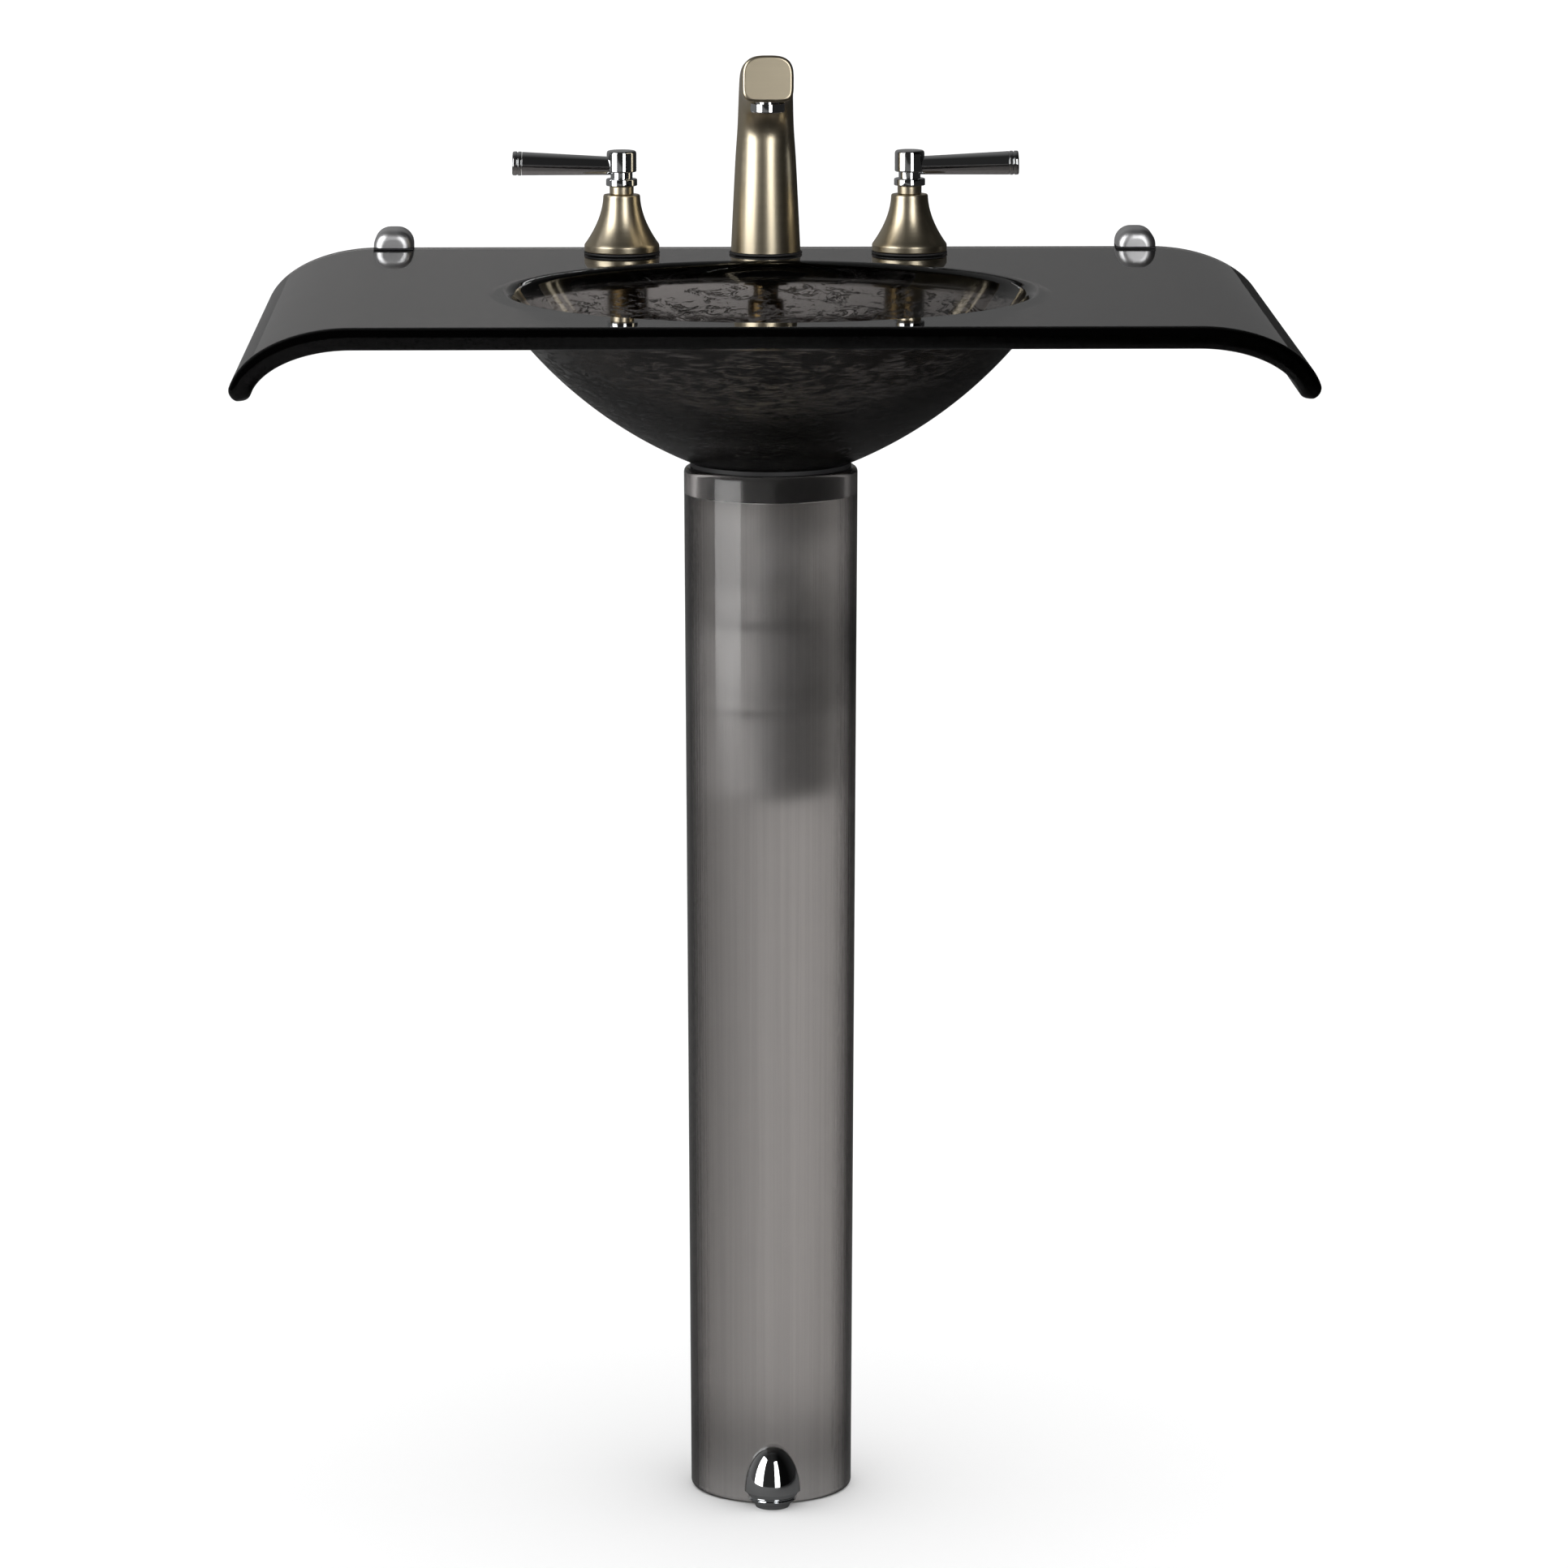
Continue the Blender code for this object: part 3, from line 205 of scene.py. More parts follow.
def smoked_glass(name, density, smoke, satin, tint, marks, shine, edge_shade, **look):
    """Glass that darkens with the way that light goes through it, and by a painted edge shade in its base
    colour where it is seen aslant. Where the mesh is marked as satin it has the given roughness, tint and
    drag marks."""
    made, shader = finish(name, (1.0, 1.0, 1.0), **look)
    shader.inputs["Transmission Weight"].default_value = 1.0
    shader.inputs["IOR"].default_value = 1.5
    shader.inputs["Specular IOR Level"].default_value = shine
    tree = made.node_tree
    link = tree.links.new
    body = add_node(tree, "ShaderNodeVolumeAbsorption", values={"Color": (*smoke, 1.0), "Density": density})
    link(body.outputs["Volume"], tree.nodes["Material Output"].inputs["Volume"])
    side = add_node(tree, "ShaderNodeAttribute", {"attribute_name": "satin"})
    polished = shader.inputs["Roughness"].links[0].from_socket
    rough = add_node(tree, "ShaderNodeMix", values={"B": satin})
    link(side.outputs["Fac"], rough.inputs["Factor"])
    link(polished, rough.inputs["A"])
    link(rough.outputs["Result"], shader.inputs["Roughness"])
    strokes = add_node(tree, "ShaderNodeGroup", {"node_tree": DRAG_MARKS})
    place = next(node for node in tree.nodes if node.type == "TEX_COORD")
    link(place.outputs["Object"], strokes.inputs["Vector"])
    stroke = add_node(tree, "ShaderNodeMapRange", values={"To Min": 1.0 - marks, "To Max": 1.0})
    link(strokes.outputs["Height"], stroke.inputs["Value"])
    shade = add_node(tree, "ShaderNodeVectorMath", {"operation": "SCALE"}, {0: tint})
    link(stroke.outputs["Result"], shade.inputs["Scale"])
    colour = add_node(tree, "ShaderNodeMix", {"data_type": "RGBA"})
    link(side.outputs["Fac"], colour.inputs["Factor"])
    colour.inputs["A"].default_value = (1.0, 1.0, 1.0, 1.0)
    link(shade.outputs[0], colour.inputs["B"])
    # painted edge shade: where the glass is seen aslant, edge_shade darkens its base colour
    aslant = add_node(tree, "ShaderNodeLayerWeight", values={"Blend": 0.5})
    rim = add_node(tree, "ShaderNodeMapRange", values={"From Min": 0.34, "From Max": 0.62, "To Min": 1.0,
                                                      "To Max": 1.0 - edge_shade})
    link(aslant.outputs["Facing"], rim.inputs["Value"])
    edge_shaded_colour = add_node(tree, "ShaderNodeVectorMath", {"operation": "SCALE"})
    link(colour.outputs["Result"], edge_shaded_colour.inputs[0])
    link(rim.outputs["Result"], edge_shaded_colour.inputs["Scale"])
    link(edge_shaded_colour.outputs[0], shader.inputs["Base Color"])
    relief = add_node(tree, "ShaderNodeBump", values={"Distance": 0.005})
    height = add_node(tree, "ShaderNodeMath", {"operation": "MULTIPLY"}, {1: marks})
    link(side.outputs["Fac"], height.inputs[0])
    link(height.outputs[0], relief.inputs["Strength"])
    link(strokes.outputs["Height"], relief.inputs["Height"])
    link(shader.inputs["Normal"].links[0].from_socket, relief.inputs["Normal"])
    link(relief.outputs["Normal"], shader.inputs["Normal"])
    return made


def mark_satin(mesh, is_satin):
    """Marks the faces for which the test holds."""
    marks = mesh.attributes.new("satin", "FLOAT", "FACE")
    for face in mesh.polygons:
        marks.data[face.index].value = float(is_satin(face))


basin_glass = smoked_glass("basin_smoked_glass", 150.0, (0.222, 0.208, 0.200), satin=0.16,
                           tint=(0.42, 0.385, 0.37), marks=0.95, shine=0.12, edge_shade=0.0,
                           roughness=0.02, size=9.0, cloud=2.5, shade=0.0, gloss=0.02, bump=0.05,
                           depth=0.002)


def mesh_from(bm, name="shape"):
    """A mesh from a bmesh, facing out."""
    bmesh.ops.remove_doubles(bm, verts=bm.verts, dist=WELD)
    bmesh.ops.dissolve_degenerate(bm, edges=bm.edges, dist=WELD)
    bmesh.ops.recalc_face_normals(bm, faces=bm.faces)
    mesh = bpy.data.meshes.new(name)
    bm.to_mesh(mesh)
    bm.free()
    return mesh


def turned(outline, steps=96):
    """A mesh of a closed (radius, height) outline turned about Z."""
    bm = bmesh.new()
    rings = []
    for radius, height in outline:
        ring = []
        for step in range(steps):
            angle = math.tau * step / steps
            ring.append(bm.verts.new((radius * math.cos(angle), radius * math.sin(angle), height)))
        rings.append(ring)
    for lower, upper in zip(rings, rings[1:] + rings[:1]):
        if max(vert.co.xy.length for vert in (lower[0], upper[0])) == 0:
            continue
        for step in range(steps):
            after = (step + 1) % steps
            bm.faces.new([lower[step], lower[after], upper[after], upper[step]])
    return mesh_from(bm)


def lofted(rings, capped=True):
    """A mesh of rings of points joined side by side."""
    bm = bmesh.new()
    rows = [[bm.verts.new(point) for point in ring] for ring in rings]
    for lower, upper in zip(rows, rows[1:]):
        for here in range(len(lower)):
            after = (here + 1) % len(lower)
            bm.faces.new([lower[here], lower[after], upper[after], upper[here]])
    if capped:
        bm.faces.new(rows[0])
        bm.faces.new(rows[-1])
    return mesh_from(bm)


def arc(centre, radius, start, end, count):
    """Points of a circle from one angle to another, in degrees."""
    points = []
    for step in range(count + 1):
        angle = math.radians(start + (end - start) * step / count)
        points.append((centre[0] + radius * math.cos(angle), centre[1] + radius * math.sin(angle)))
    return points


def moved(mesh, x=0.0, y=0.0, z=0.0, turn=None):
    """The same mesh, turned and then shifted."""
    if turn:
        mesh.transform(turn)
    mesh.transform(Matrix.Translation((x, y, z)))
    return mesh


def combined(mesh, other, operation):
    """A new mesh of two: DIFFERENCE, UNION or INTERSECT."""
    whole = bpy.data.objects.new("whole", mesh)
    tool = bpy.data.objects.new("tool", other)
    for shape in (whole, tool):
        bpy.context.collection.objects.link(shape)
    modifier = whole.modifiers.new("boolean", "BOOLEAN")
    modifier.operation = operation
    modifier.object = tool
    bpy.context.view_layer.update()
    result = bpy.data.meshes.new_from_object(whole.evaluated_get(bpy.context.evaluated_depsgraph_get()))
    for shape in (whole, tool):
        bpy.data.objects.remove(shape)
    bm = bmesh.new()
    bm.from_mesh(result)
    return mesh_from(bm)


def cut(mesh, *others):
    """The mesh with the others taken away."""
    for other in others:
        mesh = combined(mesh, other, "DIFFERENCE")
    return mesh


def joined(mesh, *others):
    """The mesh with the others merged in."""
    for other in others:
        mesh = combined(mesh, other, "UNION")
    return mesh


def keep_piece(name, mesh, material, stands_for, body="sink", crease=30):
    """Adds a finished mesh as a piece that rides on a body and stands for one CAD node."""
    mesh.name = name
    mesh.materials.clear()
    mesh.materials.append(material)
    mesh.shade_smooth()
    mesh.set_sharp_from_angle(angle=math.radians(crease))
    piece = bpy.data.objects.new(name, mesh)
    bpy.context.collection.objects.link(piece)
    even = piece.modifiers.new("even_normals", "WEIGHTED_NORMAL")
    even.keep_sharp = True
    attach(piece, body)
    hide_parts(stands_for)
    return piece


def bowl_height(radius, arc_radius):
    """Height of the bowl's turned surface, below the deck's top."""
    return ARC_UP - math.sqrt(arc_radius ** 2 - (radius - ARC_OUT) ** 2)


def bowl_arc(arc_radius, first_radius, last_height, count):
    """The bowl's turned profile from near its axis up to a height."""
    start = math.asin((first_radius - ARC_OUT) / arc_radius)
    end = math.acos((ARC_UP - last_height) / arc_radius)
    points = []
    for step in range(count + 1):
        slope = start + (end - start) * step / count
        points.append((ARC_OUT + arc_radius * math.sin(slope), ARC_UP - arc_radius * math.cos(slope)))
    return points


def corner_arc(arc_radius, level, rounding, side, count):
    """The arc that joins the bowl's profile to a level face; side is -1 for the rim, below the
    face, and also for the root, below the underside."""
    centre_height = level + side * rounding
    reach = arc_radius + rounding
    slope = math.acos((ARC_UP - centre_height) / reach)
    centre = (ARC_OUT + reach * math.sin(slope), centre_height)
    return arc(centre, rounding, 90 + math.degrees(slope), 90, count)


def wing_columns():
    """Pairs of top and bottom points across the glass, from the flat's end round a wing's tip."""
    half = GLASS / 2
    columns = []
    steps = 28
    for step in range(steps + 1):
        angle = math.radians(90 - (90 - WING_STOP) * step / steps)
        across = Vector((math.cos(angle) / WING_OUT, math.sin(angle) / WING_DOWN)).normalized()
        middle = Vector((DECK_HALF + WING_OUT * math.cos(angle),
                         -half - WING_DOWN * (1 - math.sin(angle))))
        columns.append((middle + across * half, middle - across * half))
    onward = Vector((across.y, -across.x))
    for turn in range(10, 91, 10):
        bow = math.radians(turn)
        end = middle + onward * half * math.sin(bow)
        columns.append((end + across * half * math.cos(bow), end - across * half * math.cos(bow)))
    return columns


def edge_section(thick, soft, steps=5):
    """(in from the edge, down from the top, at the back) round one slice of the sheet."""
    soft = min(soft, 0.48 * thick)
    points = []
    for first, level, back in ((180, soft, False), (90, soft, True), (0, thick - soft, True),
                               (-90, thick - soft, False)):
        for step in range(steps + 1):
            angle = math.radians(first - 90 * step / steps)
            inward = soft - soft * abs(math.cos(angle))
            points.append((inward, level - soft * math.sin(angle), back))
    return points


def deck_mesh():
    """The deck with both wings, before the bowl and the holes."""
    right = wing_columns()
    left = [tuple(Vector((-point.x, point.y)) for point in pair) for pair in right]
    lowest = min(point.y for pair in right for point in pair)
    rings = []
    for top, bottom in left[::-1] + right:
        thick = (top - bottom).length
        down = (bottom - top).normalized()
        ring = []
        for inward, depth, back in edge_section(thick, EDGE_ROUND):
            point = top + down * depth
            fall = min(max(lowest + TIP_CORNER - point.y, 0.0), TIP_CORNER)
            inward += TIP_CORNER - math.sqrt(TIP_CORNER ** 2 - fall ** 2)
            ring.append((point.x, basin_high.y - inward if back else basin_low.y + inward, point.y))
        rings.append(ring)
    return lofted(rings, capped=False)


seat = bowl_height(BOWL_SEAT, BOWL_ARC + BOWL_WALL)
floor_level = bowl_height(BOWL_FLOOR, BOWL_ARC)
root = corner_arc(BOWL_ARC + BOWL_WALL, -GLASS, ROOT_ROUND, -1, 8)
outside = [(0, seat)] + bowl_arc(BOWL_ARC + BOWL_WALL, BOWL_SEAT, root[0][1], 40)
outside += root[1:] + [(root[-1][0], -GLASS / 2), (0, -GLASS / 2)]
rim = corner_arc(BOWL_ARC, 0.00001, RIM_ROUND, -1, 12)
inside = [(0, floor_level)] + bowl_arc(BOWL_ARC, BOWL_FLOOR, rim[0][1], 40)
inside += rim[1:] + [(rim[-1][0], GLASS), (0, GLASS)]
basin = joined(deck_mesh(), moved(turned(outside, 192), y=BOWL_Y))
basin = cut(basin, moved(turned(inside, 192), y=BOWL_Y))
hole = [(0, seat - GLASS), (DRAIN_HOLE, seat - GLASS), (DRAIN_HOLE, floor_level + GLASS),
        (0, floor_level + GLASS)]
basin = cut(basin, moved(turned(hole), y=BOWL_Y))
for side in (-1, 0, 1):
    hole = turned([(0, -2 * GLASS), (TAP_HOLE, -2 * GLASS), (TAP_HOLE, GLASS), (0, GLASS)])
    basin = cut(basin, moved(hole, x=side * TAP_X, y=TAP_Y))
moved(basin, z=DECK)
mark_satin(basin, lambda face: face.normal.z < -0.2
           and basin_low.y + EDGE_ROUND < face.center.y < basin_high.y - EDGE_ROUND)
basin_piece = keep_piece("basin_glass", basin, basin_glass, "glass_basin")


# ---------------------------------------------------------------- the pedestal tube and its collar
# A blown tube of paler smoked glass with a fire-polished outside and a satin-etched bore, so that
# the waste fittings inside show only as a shade. The collar is a moulded black rubber ring in the
# tube's mouth, coned to fit the bowl.

# edge_shade=0.92 is a painted shade: it darkens the tube's colour along both of its sides
column_glass = smoked_glass("column_smoked_glass", 58.0, (0.245, 0.200, 0.180), satin=1.0,
                            tint=(0.95, 0.94, 0.93), marks=0.08, shine=0.06, edge_shade=0.92,
                            roughness=0.10, size=20.0, cloud=5.0, stretch=(1, 1, 0.15), shade=0.0,
                            gloss=0.03, bump=0.05, depth=0.001)
black_rubber, _ = finish("black_rubber", (0.013, 0.013, 0.014), 0.55, size=900.0, cloud=40.0,
                         shade=0.25, gloss=0.12, bump=0.25, depth=0.0002)

TUBE_WALL = 0.008
TUBE_FOOT = 0.0555
TUBE_ROUND = 0.0035
COLLAR_BORE = 0.036
COLLAR_BOTTOM = -0.138


def growing_tree(name, inputs):
    """An empty geometry tree with named number inputs and a material, and its two end nodes."""
    tree = bpy.data.node_groups.new(name, "GeometryNodeTree")
    for label, value in inputs:
        kind = "NodeSocketInt" if isinstance(value, int) else "NodeSocketFloat"
        tree.interface.new_socket(label, in_out="INPUT", socket_type=kind).default_value = value
    tree.interface.new_socket("Material", in_out="INPUT", socket_type="NodeSocketMaterial")
    tree.interface.new_socket("Geometry", in_out="OUTPUT", socket_type="NodeSocketGeometry")
    return tree, tree.nodes.new("NodeGroupInput"), tree.nodes.new("NodeGroupOutput")


def finish_tree(tree, start, end, shape):
    """Ends a tree in smooth shading, real geometry and a material."""
    link = tree.links.new
    smooth = tree.nodes.new("GeometryNodeSetShadeSmooth")
    real = tree.nodes.new("GeometryNodeRealizeInstances")
    paint = tree.nodes.new("GeometryNodeSetMaterial")
    link(shape, smooth.inputs["Geometry"])
    link(smooth.outputs["Geometry"], real.inputs["Geometry"])
    link(real.outputs["Geometry"], paint.inputs["Geometry"])
    link(start.outputs["Material"], paint.inputs["Material"])
    link(paint.outputs["Geometry"], end.inputs["Geometry"])
    return tree


def math_node(tree, operation, first, second):
    """A math node fed by sockets or plain numbers; returns its result."""
    node = add_node(tree, "ShaderNodeMath", {"operation": operation})
    for value, socket in ((first, node.inputs[0]), (second, node.inputs[1])):
        if isinstance(value, (int, float)):
            socket.default_value = value
        else:
            tree.links.new(value, socket)
    return node.outputs[0]


def ring_tree():
    """A ring of rectangular section with rounded edges, standing on its own base plane. Flare
    leans its wall outwards, in metres for each metre of height."""
    tree, start, end = growing_tree("rounded_ring", [
        ("Bore", 0.01), ("Radius", 0.02), ("Height", 0.01), ("Rounding", 0.0005), ("Flare", 0.0),
        ("Sides", 96),
    ])
    link = tree.links.new
    size = start.outputs
    section = add_node(tree, "GeometryNodeCurvePrimitiveQuadrilateral")
    link(math_node(tree, "SUBTRACT", size["Radius"], size["Bore"]), section.inputs["Width"])
    link(size["Height"], section.inputs["Height"])
    soft = add_node(tree, "GeometryNodeFilletCurve", {"mode": "POLY"})
    soft.inputs["Count"].default_value = 4
    link(section.outputs["Curve"], soft.inputs["Curve"])
    link(size["Rounding"], soft.inputs["Radius"])
    path = add_node(tree, "GeometryNodeCurvePrimitiveCircle")
    link(size["Sides"], path.inputs["Resolution"])
    link(math_node(tree, "MULTIPLY", math_node(tree, "ADD", size["Radius"], size["Bore"]), 0.5),
         path.inputs["Radius"])
    upright = add_node(tree, "GeometryNodeSetCurveNormal", {"mode": "Z_UP"})
    link(path.outputs["Curve"], upright.inputs["Curve"])
    sweep = add_node(tree, "GeometryNodeCurveToMesh")
    link(upright.outputs["Curve"], sweep.inputs["Curve"])
    link(soft.outputs["Curve"], sweep.inputs["Profile Curve"])
    raised = add_node(tree, "ShaderNodeCombineXYZ")
    link(math_node(tree, "MULTIPLY", size["Height"], 0.5), raised.inputs["Z"])
    stand = add_node(tree, "GeometryNodeSetPosition")
    link(sweep.outputs["Mesh"], stand.inputs["Geometry"])
    link(raised.outputs["Vector"], stand.inputs["Offset"])
    place = add_node(tree, "GeometryNodeInputPosition")
    parts = add_node(tree, "ShaderNodeSeparateXYZ")
    link(place.outputs["Position"], parts.inputs["Vector"])
    flat = add_node(tree, "ShaderNodeCombineXYZ")
    link(parts.outputs["X"], flat.inputs["X"])
    link(parts.outputs["Y"], flat.inputs["Y"])
    outward = add_node(tree, "ShaderNodeVectorMath", {"operation": "NORMALIZE"})
    link(flat.outputs["Vector"], outward.inputs[0])
    lean = add_node(tree, "ShaderNodeVectorMath", {"operation": "SCALE"})
    link(outward.outputs[0], lean.inputs[0])
    link(math_node(tree, "MULTIPLY", parts.outputs["Z"], size["Flare"]), lean.inputs["Scale"])
    flare = add_node(tree, "GeometryNodeSetPosition")
    link(stand.outputs["Geometry"], flare.inputs["Geometry"])
    link(lean.outputs[0], flare.inputs["Offset"])
    return finish_tree(tree, start, end, flare.outputs["Geometry"])


RINGS = ring_tree()


def grown(tree, material, **sizes):
    """A plain mesh of what a geometry tree makes from these sizes."""
    shape = bpy.data.objects.new("grown", bpy.data.meshes.new("grown"))
    bpy.context.collection.objects.link(shape)
    modifier = shape.modifiers.new("grown", "NODES")
    modifier.node_group = tree
    for socket in tree.interface.items_tree:
        label = socket.name.lower().replace(" ", "_")
        if socket.in_out == "INPUT" and label in sizes:
            modifier[socket.identifier] = sizes[label]
        elif socket.name == "Material":
            modifier[socket.identifier] = material
    bpy.context.view_layer.update()
    mesh = bpy.data.meshes.new_from_object(shape.evaluated_get(bpy.context.evaluated_depsgraph_get()))
    bpy.data.objects.remove(shape)
    bm = bmesh.new()
    bm.from_mesh(mesh)
    return mesh_from(bm)


def round_bar(radius, bottom, top, steps=96):
    """A plain round bar along Z."""
    return turned([(0, bottom), (radius, bottom), (radius, top), (0, top)], steps)


BACKWARD = Matrix.Rotation(-math.pi / 2, 4, "X")       # turns +Z to +Y
SIDEWAYS = Matrix.Rotation(math.pi / 2, 4, "Y")        # turns +Z to +X

tube_top = tube_high.z
flare = ((tube_high.x - tube_low.x) / 2 - TUBE_FOOT) / tube_top
tube = grown(RINGS, column_glass, bore=TUBE_FOOT - TUBE_WALL, radius=TUBE_FOOT, height=tube_top,
             rounding=TUBE_ROUND, flare=flare, sides=160)
arm_low, arm_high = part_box("trap_arm")
ARM_Z = (arm_low.z + arm_high.z) / 2
tube = cut(tube, moved(round_bar(0.020, 0, 0.1), z=ARM_Z, turn=BACKWARD))
bm = bmesh.new()
bm.from_mesh(tube)
bmesh.ops.bisect_plane(bm, geom=bm.verts[:] + bm.edges[:] + bm.faces[:], plane_no=(0, 0, 1),
                       plane_co=(0, 0, DECK + COLLAR_BOTTOM))
tube = moved(mesh_from(bm), y=BOWL_Y)
mark_satin(tube, lambda face: face.center.z < DECK + COLLAR_BOTTOM and
           Vector((face.center.x, face.center.y - BOWL_Y)).normalized().dot(face.normal.xy) < -0.7)
tube_piece = keep_piece("column_glass_tube", tube, column_glass, "pedestal_tube", crease=40)


def rounded(corners, steps=4):
    """An outline whose (radius, height, rounding) corners are turned into arcs."""
    points = []
    for before, corner, after in zip(corners[-1:] + corners[:-1], corners, corners[1:] + corners[:1]):
        here = Vector(corner[:2])
        if len(corner) < 3:
            points.append(tuple(here))
            continue
        back = Vector(before[:2]) - here
        onward = Vector(after[:2]) - here
        reach = min(corner[2] / math.tan(back.angle(onward) / 2), 0.49 * back.length,
                    0.49 * onward.length)
        first = here + back.normalized() * reach
        last = here + onward.normalized() * reach
        for step in range(steps + 1):
            share = step / steps
            points.append(tuple(first * (1 - share) ** 2 + here * 2 * share * (1 - share)
                                + last * share ** 2))
    return points


lip = TUBE_FOOT + flare * tube_top - TUBE_WALL + 0.0037
plug = (tube_high.x - tube_low.x) / 2 - TUBE_WALL - GAP - flare * 0.02
outline = [(COLLAR_BORE, COLLAR_BOTTOM, 0.001), (plug, COLLAR_BOTTOM, 0.0012),
           (plug, GAP + tube_top - DECK), (lip, GAP + tube_top - DECK, 0.0004)]
for step in range(9):
    radius = lip + (COLLAR_BORE - lip) * step / 8
    outline.append((radius, bowl_height(radius, BOWL_ARC + BOWL_WALL) - GAP))
collar = moved(turned(rounded(outline), 128), y=BOWL_Y, z=DECK)
keep_piece("bowl_collar", collar, black_rubber, "pedestal_collar")


# ---------------------------------------------------------------- the floor clips
# A turned and chromed zinc bullet in front of the tube and one behind it, each scooped out to fit
# the glass. A rubber pad keeps the metal off the glass and a stud in the floor holds the bullet.

CHROME = (0.86, 0.87, 0.88)
polished_chrome, _ = finish("polished_chrome", CHROME, 0.045, 1.0, size=140.0, cloud=30.0, shade=0.02,
                            gloss=0.03, bump=0.02, depth=0.0002)
zinc_steel, _ = finish("zinc_steel", (0.56, 0.57, 0.58), 0.34, 1.0, size=400.0, cloud=60.0, shade=0.12,
                       gloss=0.12, bump=0.12, depth=0.0002)


def refinish(node, material):
    """Gives a CAD node that stays its finish."""
    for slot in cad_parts[node].material_slots:
        slot.material = material


BULLET = 0.0195
BULLET_TOP = 0.044
BULLET_WAIST = 0.010
BULLET_OUT = 0.0025
for side, facing in (("front", -1), ("rear", 1)):
    outline = rounded([(0, 0), (0.0115, 0, 0.0006), (0.0125, 0.0025, 0.001), (0.0188, 0.0075, 0.0015)])
    dome = BULLET_TOP - BULLET_WAIST
    for step in range(1, 30):
        angle = math.radians(3 * step)
        outline.append((BULLET * math.cos(angle), BULLET_WAIST + dome * math.sin(angle)))
    outline.append((0, BULLET_TOP))
    bullet = moved(turned(outline), y=facing * (TUBE_FOOT + BULLET_OUT))
    bullet = cut(bullet, round_bar(TUBE_FOOT + 0.0021, -0.01, 0.1, 192))
    moved(bullet, y=BOWL_Y)
    keep_piece(f"foot_bullet_{side}", bullet, polished_chrome, f"floor_clip_{side}")
    refinish(f"floor_pad_{side}", black_rubber)
    refinish(f"floor_stud_{side}", zinc_steel)


# ---------------------------------------------------------------- the wall clips
# Two cast and chromed clips screwed to the wall. Each grips the deck's back edge in a slot lined
# with rubber, and a small screw from below tightens it.

satin_chrome, _ = finish("satin_chrome", (0.94, 0.94, 0.95), 0.40, 1.0, size=140.0, cloud=30.0, shade=0.03,
                         gloss=0.06, bump=0.03, depth=0.0002)

CLIP_GRIP = 0.024
CLIP_HALF = 0.014
CLIP_RISE = 0.014
CLIP_DROP = 0.031
CLIP_CORNER = 0.0115
CLIP_NOSE = 0.007
wall_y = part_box("wall_clip_left")[1].y
clip_front = basin_high.y - CLIP_GRIP
for side in ("left", "right"):
    low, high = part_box(f"wall_clip_{side}")
    across = CLIP_HALF
    level = (CLIP_RISE - CLIP_DROP) / 2
    tall = (CLIP_RISE + CLIP_DROP) / 2
    outline = arc((across - CLIP_CORNER, tall - CLIP_CORNER), CLIP_CORNER, 0, 90, 10)
    outline += arc((CLIP_CORNER - across, tall - CLIP_CORNER), CLIP_CORNER, 90, 180, 10)
    outline += arc((0.003 - across, 0.003 - tall), 0.003, 180, 270, 4)
    outline += arc((across - 0.003, 0.003 - tall), 0.003, 270, 360, 4)
    rings = []
    for step in range(9):
        angle = math.radians(90 * step / 8)
        inset = CLIP_NOSE * (1 - math.sin(angle))
        y = clip_front + CLIP_NOSE * (1 - math.cos(angle))
        rings.append([(u * (1 - inset / across), y, level + v * (1 - inset / tall)) for u, v in outline])
    rings.append([(u, wall_y, level + v) for u, v in outline])
    clip = lofted(rings)
    slot = 0.0016
    slot_block = lofted([[(x, y, z) for x, y in ((-0.02, clip_front - 0.002), (0.02, clip_front - 0.002),
                          (0.02, basin_high.y + slot), (-0.02, basin_high.y + slot))]
                         for z in (-GLASS - slot, slot)])
    clip = cut(clip, slot_block)
    clip = cut(clip, moved(round_bar(0.0033, -0.05, -GLASS - 0.001, 48), y=basin_high.y - CLIP_GRIP / 2))
    moved(clip, x=(low.x + high.x) / 2, z=DECK)
    keep_piece(f"back_clip_{side}", clip, satin_chrome, f"wall_clip_{side}")
    refinish(f"clip_liner_{side}", black_rubber)
    refinish(f"clamp_screw_{side}", zinc_steel)


# ---------------------------------------------------------------- the drain
# A chromed brass drain clamped through the bowl's floor by a nut from below, with a domed cap that
# lifts on its stem.

turned_brass, _ = finish("turned_brass", (0.72, 0.53, 0.25), 0.24, 1.0, size=30.0, cloud=9.0,
                         stretch=(1, 1, 40), shade=0.12, gloss=0.1, bump=0.12, depth=0.0002)

seat_z = DECK + seat
floor_z = DECK + floor_level + GAP
flange_z = floor_z + 0.002
body_low, body_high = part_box("drain_body")
outline = rounded([(0.0165, body_low.z, 0.0003), (0.020, body_low.z, 0.0006), (0.020, floor_z),
                   (0.028, floor_z, 0.0003), (0.028, floor_z + 0.001, 0.0008), (0.0255, flange_z, 0.001),
                   (0.0185, flange_z, 0.0012), (0.0165, flange_z - 0.0015, 0.001)])
drain = turned(outline, 128)
bar_z = flange_z - 0.030
crossbar = lofted([[(x, y, z) for x, y in ((-0.0175, -0.0055), (0.0175, -0.0055), (0.0175, 0.0055),
                                           (-0.0175, 0.0055))] for z in (bar_z, bar_z + 0.004)])
drain = joined(drain, crossbar)
drain = cut(drain, round_bar(0.0034, bar_z - 0.004, bar_z + 0.008, 48))
keep_piece("drain_flange", moved(drain, y=BOWL_Y), polished_chrome, "drain_body")

